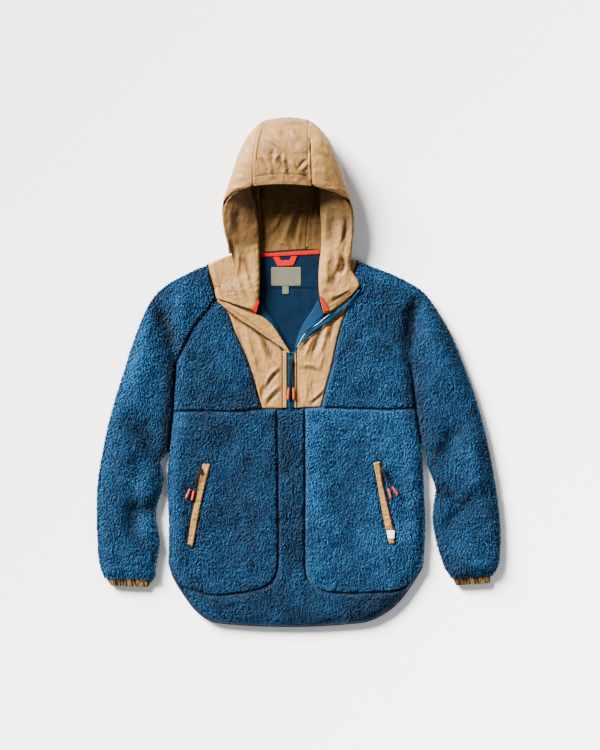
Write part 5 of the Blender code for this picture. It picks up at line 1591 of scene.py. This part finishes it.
def laid_on(tree, line, down=True):
    """A plan line dropped onto a surface, as places and the surface's normals."""
    found = []
    way, height = (DOWN, ABOVE_ALL) if down else (-DOWN, -ABOVE_ALL)
    for x, y in even_steps(np.asarray(line), 0.6 * MM):
        place, normal, _, _ = tree.ray_cast(Vector((x, y, height)), way)
        if place is not None:
            normal = normal if normal.dot(way) < 0 else -normal
            found.append([*place, *normal])
    found = np.array(found)
    if len(found) < 4:
        return None
    # a place much lower than its neighbours fell through a gap
    around = np.stack([np.roll(found[:, 2], k) for k in range(-4, 5)])
    return found[np.abs(found[:, 2] - np.median(around, axis=0)) < 1.2 * MM]


def stitches(name, lines, material, slot, gap=2.9 * MM, length=2.1 * MM, radius=0.32 * MM):
    """Threads along lines on a surface: each stitch a short spindle sunk at both its ends."""
    corners = []
    for line in lines:
        if line is None or len(line) < 4:
            continue
        steps = even_steps(line, gap)
        ahead = normed(np.gradient(steps[:, :3], axis=0))
        up = steps[:, 3:]
        up = normed(up - np.sum(up * ahead, axis=1)[:, None] * ahead)
        across = np.cross(ahead, up)
        middle = steps[:, :3] + up * 0.12 * MM
        half = length / 2
        rings = [middle - ahead * half - up * 0.25 * MM]
        for share in (-0.5, 0.5):
            centre = middle + ahead * half * share * 1.1
            for turn in (0, 1, 2, 3):
                angle = math.pi / 4 + turn * math.pi / 2
                rings.append(centre + radius * (math.cos(angle) * across + math.sin(angle) * up))
        rings.append(middle + ahead * half - up * 0.25 * MM)
        corners.append(np.stack(rings, axis=1))
    corners = np.concatenate(corners)
    pattern = []
    for turn in range(4):
        after = (turn + 1) % 4
        pattern += [(0, 1 + after, 1 + turn), (9, 5 + turn, 5 + after),
                    (1 + turn, 1 + after, 5 + after), (1 + turn, 5 + after, 5 + turn)]
    triangles = repeated(pattern, 10, len(corners))
    return piece(name, mesh_of(name, corners.reshape(-1, 3), triangles), material, slot)


def shifted(line, distance):
    """An open plan line moved sideways."""
    line = np.asarray(line, float)
    ahead = normed(np.gradient(line, axis=0), 0.0)
    return line + np.stack([-ahead[:, 1], ahead[:, 0]], axis=1) * distance


def sew_hood():
    tree = tree_of(*HOOD)
    lines = []
    for seam in HOOD_SEAMS:
        line = drawn(seam)
        for distance in (-5.8 * MM, -3.8 * MM, 3.8 * MM, 5.8 * MM):
            lines.append(laid_on(tree, shifted(line, distance)))
            lines.append(laid_on(tree, shifted(line, distance), down=False))
    lines.append(laid_on(tree, drawn(BRIM_CASING)))
    brim = shifted(drawn(BRIM), 4.0 * MM)
    lines.append(laid_on(tree, brim[20:-20]))
    stitches("hood_stitches", lines, TAN_THREAD, "tan_nylon")


sew_hood()


# A seam of the hood is closed from inside by a narrow taped allowance.
def allowance(line, tree, height=ABOVE_ALL):
    """A 3-D line between the two sides of a gap, at the mean height of both."""
    rows = []
    for x, y in even_steps(np.asarray(line), 4.0 * MM):
        places = [met(tree, x + aside, y, height) for aside in (-2.6 * MM, 2.6 * MM)]
        if None not in places and abs(places[0].z - places[1].z) < 6 * MM:
            rows.append((x, y, sum(place.z for place in places) / 2))
    return np.array(rows)


def flat_tube(name, lines, across, thick, sink, material, slot, level=None, taper=0):
    """Soft flattened tubes along 3-D lines, each moved down by sink; level is a fixed way across."""
    sides = 8
    corners, faces = [], []
    for line in lines:
        if len(line) < 3:
            continue
        ahead = normed(np.gradient(line, axis=0))
        aside = normed(np.cross(ahead, UP) if level is None else np.tile(level, (len(line), 1)))
        up = np.cross(aside, ahead)
        start = len(corners)
        for row, (place, side, rise) in enumerate(zip(line, aside, up)):
            near_end = min(row + 1, len(line) - row)
            wide = across * (min(1.0, (near_end / taper) ** 0.5) if taper else 1.0)
            for aside_share, up_share in circle(sides):
                spot = place + side * wide * aside_share + rise * (thick * up_share - sink)
                corners.append((spot[0], spot[1], max(spot[2], 0.1 * MM)))
        rows = len(line)
        for row in range(rows - 1):
            for turn in range(sides):
                a, b = start + row * sides + turn, start + row * sides + (turn + 1) % sides
                faces += [(a, a + sides, b), (b, a + sides, b + sides)]
        for turn in range(1, sides - 1):
            last = start + (rows - 1) * sides
            faces += [(start, start + turn, start + turn + 1), (last, last + turn + 1, last + turn)]
    return piece(name, mesh_of(name, corners, faces), material, slot)


CROWN_MIDDLE = Vector((0.0, 440 * MM, 40 * MM))


def over_crown(x, tree):
    """The line of a seam where it rolls over the crown, a little under the cloth."""
    rows = []
    for angle in np.radians(np.arange(-70.0, 75.0, 6.0)):
        way = Vector((0.0, math.cos(angle), math.sin(angle)))
        found = []
        for aside in (-5.0 * MM, 5.0 * MM):
            start = CROWN_MIDDLE + Vector((x + aside, 0.0, 0.0)) + way * 0.3
            place = tree.ray_cast(start, -way)[0]
            if place is not None and place.y > CROWN_MIDDLE.y:
                found.append(np.array(place))
        if len(found) == 2:
            rows.append((found[0] + found[1]) / 2 - np.array(way) * 1.3 * MM)
    return np.array(rows)


ROUND_THE_BRIM = np.array([0.0, 0.8, -2.2]) * MM
CROWN_SEAM_X = (-68.5, 22.0)
INSIDE_Z = 34 * MM          # a height between the hood's two layers


def tape_hood_seams():
    tree = tree_of(*HOOD)
    upper = [allowance(drawn(seam), tree) for seam in HOOD_SEAMS]
    upper = [np.vstack([line, 2.0 * line[-1] - line[-2] + ROUND_THE_BRIM]) for line in upper]
    flat_tube("hood_seam_tape", upper, 2.8 * MM, 0.8 * MM, 0.1 * MM, NYLON, "tan_nylon")
    crown = [over_crown(x * MM, tree) for x in CROWN_SEAM_X]
    flat_tube("hood_crown_tape", crown, 4.0 * MM, 0.6 * MM, 0.0, NYLON, "tan_nylon", (1.0, 0.0, 0.0))
    lower = []
    for seam in INNER_SEAMS:
        line = smooth_line(seam, 2.0)
        more = line[0] + (line[0] - line[8]) / np.linalg.norm(line[0] - line[8]) * 95
        whole = np.vstack([more, line]) * MM
        lower.append(allowance(whole, tree, INSIDE_Z))
    flat_tube("hood_inner_tape", lower, 3.2 * MM, 0.7 * MM, 0.1 * MM, SHADED_NYLON, "tan_nylon")


tape_hood_seams()


BRIM_SHADED_FACINGS = {"left": [(-152, 333), (-147, 343), (-138, 355), (-122, 362)],
                "right": [(104, 333), (99, 345), (84, 353), (70, 358)]}


def shade_brim_facings():
    """The inner facing that shows as a narrow band under each end of the brim, darkened as painted shade.
    """
    for side, rows in BRIM_SHADED_FACINGS.items():
        tree = tree_of(HOOD[1] if side == "left" else HOOD[2])
        outward = -1.0 if side == "left" else 1.0
        found = []
        for x, y in even_steps(drawn(rows), 4.0 * MM):
            place = met(tree, x - outward * 0.5 * MM, y + 4.0 * MM)
            if place is not None:
                found.append((x - outward * 1.5 * MM, y - 2.0 * MM, place.z - 6.0 * MM))
        made = flat_tube(f"brim_facing_{side}", [np.array(found)], 5.5 * MM, 0.6 * MM, 0.0, SHADED_NYLON,
                         "tan_nylon", taper=5)
        # Painted shade under the brim.
        mark(made.data, "crease", np.full(len(made.data.vertices), 0.55))


shade_brim_facings()


STITCH_X = (-34.3, -29.5, -24.8, 0.2, -5.6)
PLACKET_EDGE = [(-158, 140), (-138, 128), (-116, 112), (-92, 96), (-72, 82), (-40, 56)]


def sew_front():
    """Topstitching beside the zip strips, along the insets' seams, the placket and the welts."""
    tree = cloth_tree()
    lines = []
    for x in STITCH_X:
        lines.append(laid_on(tree, np.array([(x, 34), (x, -20), (x, -70)]) * MM))
    placket = drawn(PLACKET_EDGE)
    lines.append(laid_on(tree, shifted(placket, 3.0 * MM)))
    for side in SIDES:
        loop = WELT_LOOPS[side]
        ring = loop + turned(loop) * 1.8 * MM
        keep = distances(ring, loop, closed=True) > 1.4 * MM
        lines.append(laid_on(tree, ring[keep]))
    stitches("front_stitches", lines, TAN_THREAD, "tan_nylon")


sew_front()


# ---------------------------------------------------------------- zips, eyelet and piping
Teeth = namedtuple("Teeth", "pitch width length height")
FRONT_TEETH = Teeth(1.5 * MM, 3.6 * MM, 0.9 * MM, 1.0 * MM)
POCKET_TEETH = Teeth(1.6 * MM, 2.0 * MM, 0.9 * MM, 0.8 * MM)
TOOTH_CORNERS = ((-1, -1), (1, -1), (1, 1), (-1, 1))
TOOTH_TOP = 0.7             # how wide a tooth's top is, as a share of its foot
TOOTH_FACES = [(0, 1, 5), (0, 5, 4), (1, 2, 6), (1, 6, 5), (2, 3, 7), (2, 7, 6), (3, 0, 4), (3, 4, 7),
               (4, 5, 6), (4, 6, 7), (0, 3, 2), (0, 2, 1)]


def teeth(name, line, size, material, slot):
    """A row of small moulded teeth, two interlocking ranks, along a 3-D line."""
    steps = even_steps(np.asarray(line, float), size.pitch)
    ahead = normed(np.gradient(steps, axis=0))
    aside = np.cross(ahead, UP)
    up = np.cross(aside, ahead)
    sign = np.where(np.arange(len(steps)) % 2, 1.0, -1.0)[:, None]
    middle = steps + aside * sign * size.width * 0.35
    corners = [middle + aside * x * size.width * share / 2 + ahead * y * size.length * share / 2
               + up * z * size.height
               for z, share in ((0.0, 1.0), (1.0, TOOTH_TOP)) for x, y in TOOTH_CORNERS]
    corners = np.stack(corners, axis=1).reshape(-1, 3)
    mesh = mesh_of(name, corners, repeated(TOOTH_FACES, 8, len(steps)), False)
    return piece(name, mesh, material, slot)


FRONT_ZIP_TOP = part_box("front_zip")[1].z
teeth("front_teeth", np.array([(-15.6, 12, 0), (-15.6, -71, 0)]) * MM + [0, 0, FRONT_ZIP_TOP],
      FRONT_TEETH, BRAID, "zip_tape")


def zip_middle(side):
    """The middle line of a pocket's zip, from its slider down."""
    loop = ZIP_LOOPS[side]
    rows = []
    for y in np.linspace(loop[:, 1].max() - 4 * MM, loop[:, 1].min() + 4 * MM, 30):
        ends = []
        for a, b in zip(loop, np.roll(loop, -1, axis=0)):
            if (a[1] > y) != (b[1] > y):
                ends.append(a[0] + (y - a[1]) / (b[1] - a[1]) * (b[0] - a[0]))
        rows.append(((min(ends) + max(ends)) / 2, y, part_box(f"pocket_zip_{side}")[1].z))
    return rows


for side in SIDES:
    teeth(f"pocket_teeth_{side}", zip_middle(side), POCKET_TEETH, BLACK_TAPE, "black_zip")


OPEN_EDGE = [(66, 120), (52, 110), (40, 100), (17, 84), (4, 66), (-4, 50)]
OPEN_TAPE = [(116, 163), (102, 146), (84, 130), (64, 113), (50, 102), (36, 94), (18, 80), (4, 62)]


def pipe_open_edge():
    """The light piping on the upper side of the open right edge, and the tape's end beside it."""
    tree = cloth_tree()
    line = drawn(OPEN_EDGE)
    found = laid_on(tree, shifted(line, 1.5 * MM))
    flat_tube("open_edge_piping", [found[:, :3]], 0.7 * MM, 0.6 * MM, -0.1 * MM, PIPING, "zip_tape",
              taper=6)
    beside = laid_on(tree, shifted(line, -1.4 * MM))
    beside = beside[beside[:, 1] < 96 * MM][::4, :3]
    flat_tube("open_edge_end", [beside], 2.3 * MM, 0.7 * MM, -0.1 * MM, ZIP_TAPE, "zip_tape", taper=4)


pipe_open_edge()


def tape_open_edge():
    """The tape's other half, that closes the narrow gap beside the open right edge."""
    tree = tree_of(*[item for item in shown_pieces() if item.name.startswith("placket_right")])
    found = laid_on(tree, drawn(OPEN_TAPE))
    if found is not None:
        lower = found[:, :3] + np.array([2.0, -3.0, -0.3]) * MM
        flat_tube("open_edge_tape", [lower[::5]], 4.2 * MM, 0.7 * MM, 0.0, ZIP_TAPE, "zip_tape", taper=8)


tape_open_edge()


RING_SIDES = 24
EYELET_RADIUS, TAB_RING_RADIUS, TAB_WIRE_RADIUS = 2.0 * MM, 2.0 * MM, 0.45 * MM


def eyelet(x, y):
    """A small punched eyelet for the hood's cord, in the corner of the left collar."""
    tree = tree_of(*COLLARS)
    place = met(tree, x * MM, y * MM)
    if place is None:
        return
    rows = [(place.x + EYELET_RADIUS * along, place.y + EYELET_RADIUS * aside, place.z)
            for along, aside in circle(RING_SIDES)]
    flat_tube("eyelet", [np.array([*rows, rows[0]])], 0.55 * MM, 0.5 * MM, -0.2 * MM, METAL, "tan_nylon")
    # The hole is a black disc: painted shade inside the eyelet.
    disc = [(x, y, place.z + 0.2 * MM) for x, y, _ in [place, *rows]]
    under = [(x, y, place.z - 0.6 * MM) for x, y, _ in disc]
    below = len(disc)
    around = [(1 + turn, 1 + (turn + 1) % RING_SIDES) for turn in range(RING_SIDES)]
    faces = [(0, a, b) for a, b in around] + [(below, below + b, below + a) for a, b in around]
    for a, b in around:
        faces += [(a, a + below, b), (b, a + below, b + below)]
    piece("eyelet_hole", mesh_of("eyelet_hole", disc + under, faces), BLACK_TAPE, "tan_nylon")


eyelet(-158, 171)


# ---------------------------------------------------------------- pulls and their cords
# A pull: its slider's place, its heading, its tab's length, then each cord end's place and heading.
Pull = namedtuple("Pull", "name x y z hx hy tab tip0 head0 tip1 head1")
PULLS = [
    Pull("front", -15.4, 21, 20, 0, -1, 20, (-19.8, -31), (-0.06, -1), (-10.6, -31), (0.06, -1)),
    Pull("pocket_left", -197, -198, 28, -0.45, -0.89, 16, (-217, -233.5), (-0.4, -0.92),
         (-209, -237), (-0.22, -0.98)),
    Pull("pocket_right", 168, -198, 28, 0.5, -0.87, 16, (179.5, -232.5), (0.27, -0.96),
         (187.5, -228.5), (0.55, -0.84)),
]
BODY_OF = {"front": "front_pull", "pocket_left": "left_pocket_pull", "pocket_right": "right_pocket_pull"}
TIP_Z = 25.3
CORD_RADIUS = 1.2
EYE_BACK, EYE_CLEAR = 1.6, 0.3      # the ring's middle before the tab's end, and the cord's play in it
IN_TIP, FROM_TIP, FROM_EYE, LEG_ASIDE = 1.5, 6, 3, 1.6


def unit(x, y):
    return np.array([x, y, 0.0]) / math.hypot(x, y)


def cord_route(pull):
    """The cord's middle line, from inside one tip, through the tab's ring, into the other tip."""
    heading = unit(pull.hx, pull.hy)
    start = np.array([pull.x, pull.y, pull.z])
    eye = start + heading * (pull.tab - EYE_BACK + EYE_CLEAR + CORD_RADIUS)
    tip_z = min(pull.z, TIP_Z)
    tips = [np.array([*pull.tip0, tip_z]), np.array([*pull.tip1, tip_z])]
    heads = [unit(*pull.head0), unit(*pull.head1)]
    sideways = np.array([-heading[1], heading[0], 0.0])
    if np.dot(sideways, tips[0] - tips[1]) < 0:
        sideways = -sideways
    across = sideways * LEG_ASIDE
    knots = [tips[0] + heads[0] * IN_TIP, tips[0] - heads[0] * FROM_TIP,
             eye + across + heading * FROM_EYE, eye, eye - across + heading * FROM_EYE,
             tips[1] - heads[1] * FROM_TIP, tips[1] + heads[1] * IN_TIP]
    return smooth_line(knots, 1.5) * MM, eye * MM, heading


def turned_solid(name, profile, place, heading, sides=16):
    """A solid of revolution about a level heading: profile rows are (distance along, radius)."""
    aside = np.array([-heading[1], heading[0], 0.0])
    corners, faces = [], []
    for along, radius in profile:
        for aside_share, up_share in circle(sides):
            corners.append(place + heading * along + radius * (aside_share * aside + up_share * UP))
    for row in range(len(profile) - 1):
        for turn in range(sides):
            a, b = row * sides + turn, row * sides + (turn + 1) % sides
            faces += [(a, b, a + sides), (b, b + sides, a + sides)]
    for turn in range(1, sides - 1):
        last = (len(profile) - 1) * sides
        faces += [(0, turn + 1, turn), (last, last + turn, last + turn + 1)]
    return mesh_of(name, corners, faces)


# A moulded end's profile, with radii: its collar by distance along, its barrel by share of the length.
TIP_COLLAR = [(0.0, 1.3), (0.25, 1.75), (0.9, 2.0), (1.6, 2.0), (1.9, 1.7), (2.3, 1.7), (2.6, 2.05),
              (4.5, 2.2)]
TIP_BARREL = [(0.62, 2.55), (0.86, 2.65), (0.95, 2.45), (1.0, 1.7)]
TIP_LENGTHS = {"front": 24.0, "pocket_left": 20.0, "pocket_right": 20.0}


def cord_tip(pull, number, place, heading):
    """A moulded end: a collar, a neck ring, then a barrel that widens to a rounded end."""
    name = f"cord_end_{pull.name}_{number}"
    barrel = [(share * TIP_LENGTHS[pull.name], radius) for share, radius in TIP_BARREL]
    profile = [(along * MM, radius * MM) for along, radius in TIP_COLLAR + barrel]
    mesh = turned_solid(name, profile, place * MM, heading)
    return piece(name + "_moulded", mesh, PLASTIC, "coral_tip", [name], BODY_OF[pull.name])


def tab_ring(pull, eye, heading):
    """The tab's wire ring, which the cord runs through."""
    middle = eye - heading * EYE_BACK * MM
    sideways = np.array([-heading[1], heading[0], 0.0])
    sides = 8
    corners, faces = [], []
    for along, rise in circle(RING_SIDES):
        place = middle + TAB_RING_RADIUS * (along * heading + rise * UP)
        out = (place - middle) / np.linalg.norm(place - middle)
        for out_share, side_share in circle(sides):
            corners.append(place + TAB_WIRE_RADIUS * (out_share * out + side_share * sideways))
    for row in range(RING_SIDES):
        start, after = row * sides, (row + 1) % RING_SIDES * sides
        for turn in range(sides):
            following = (turn + 1) % sides
            a, b, c, d = start + turn, start + following, after + turn, after + following
            faces += [(a, b, c), (b, d, c)]
    name = f"tab_ring_{pull.name}"
    return piece(name, mesh_of(name, corners, faces), METAL, "grey_metal", body=BODY_OF[pull.name])


def cord_of(pull):
    """The pull's knotted cord as a curve, with its two moulded ends."""
    route, eye, heading = cord_route(pull)
    curve = bpy.data.curves.new(f"cord_{pull.name}", "CURVE")
    curve.dimensions = "3D"
    curve.bevel_depth = CORD_RADIUS * MM
    curve.bevel_resolution = 3
    curve.use_fill_caps = True
    spline = curve.splines.new("POLY")
    spline.points.add(len(route) - 1)
    for point, place in zip(spline.points, route):
        point.co = (*place, 1.0)
    curve.materials.append(BRAID)
    made = bpy.data.objects.new(f"cord_{pull.name}", curve)
    bpy.context.scene.collection.objects.link(made)
    body = BODY_OF[pull.name]
    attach(made, body)
    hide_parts(f"pull_cord_{pull.name}")
    tip_z = min(pull.z, TIP_Z)
    tips = [cord_tip(pull, 1, np.array([*pull.tip0, tip_z]), unit(*pull.head0)),
            cord_tip(pull, 2, np.array([*pull.tip1, tip_z]), unit(*pull.head1))]
    tab_ring(pull, eye, heading)
    length = float(np.sum(np.linalg.norm(np.diff(route, axis=0), axis=1)))
    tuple(route[0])


for pull in PULLS:
    cord_of(pull)


# ---------------------------------------------------------------- paint of the hard nodes
for row in frame["record"]["subparts"]:
    if row["material_slot"] == "grey_metal":
        node = NODES[row["node"]]
        node.data.materials.clear()
        node.data.materials.append(METAL)
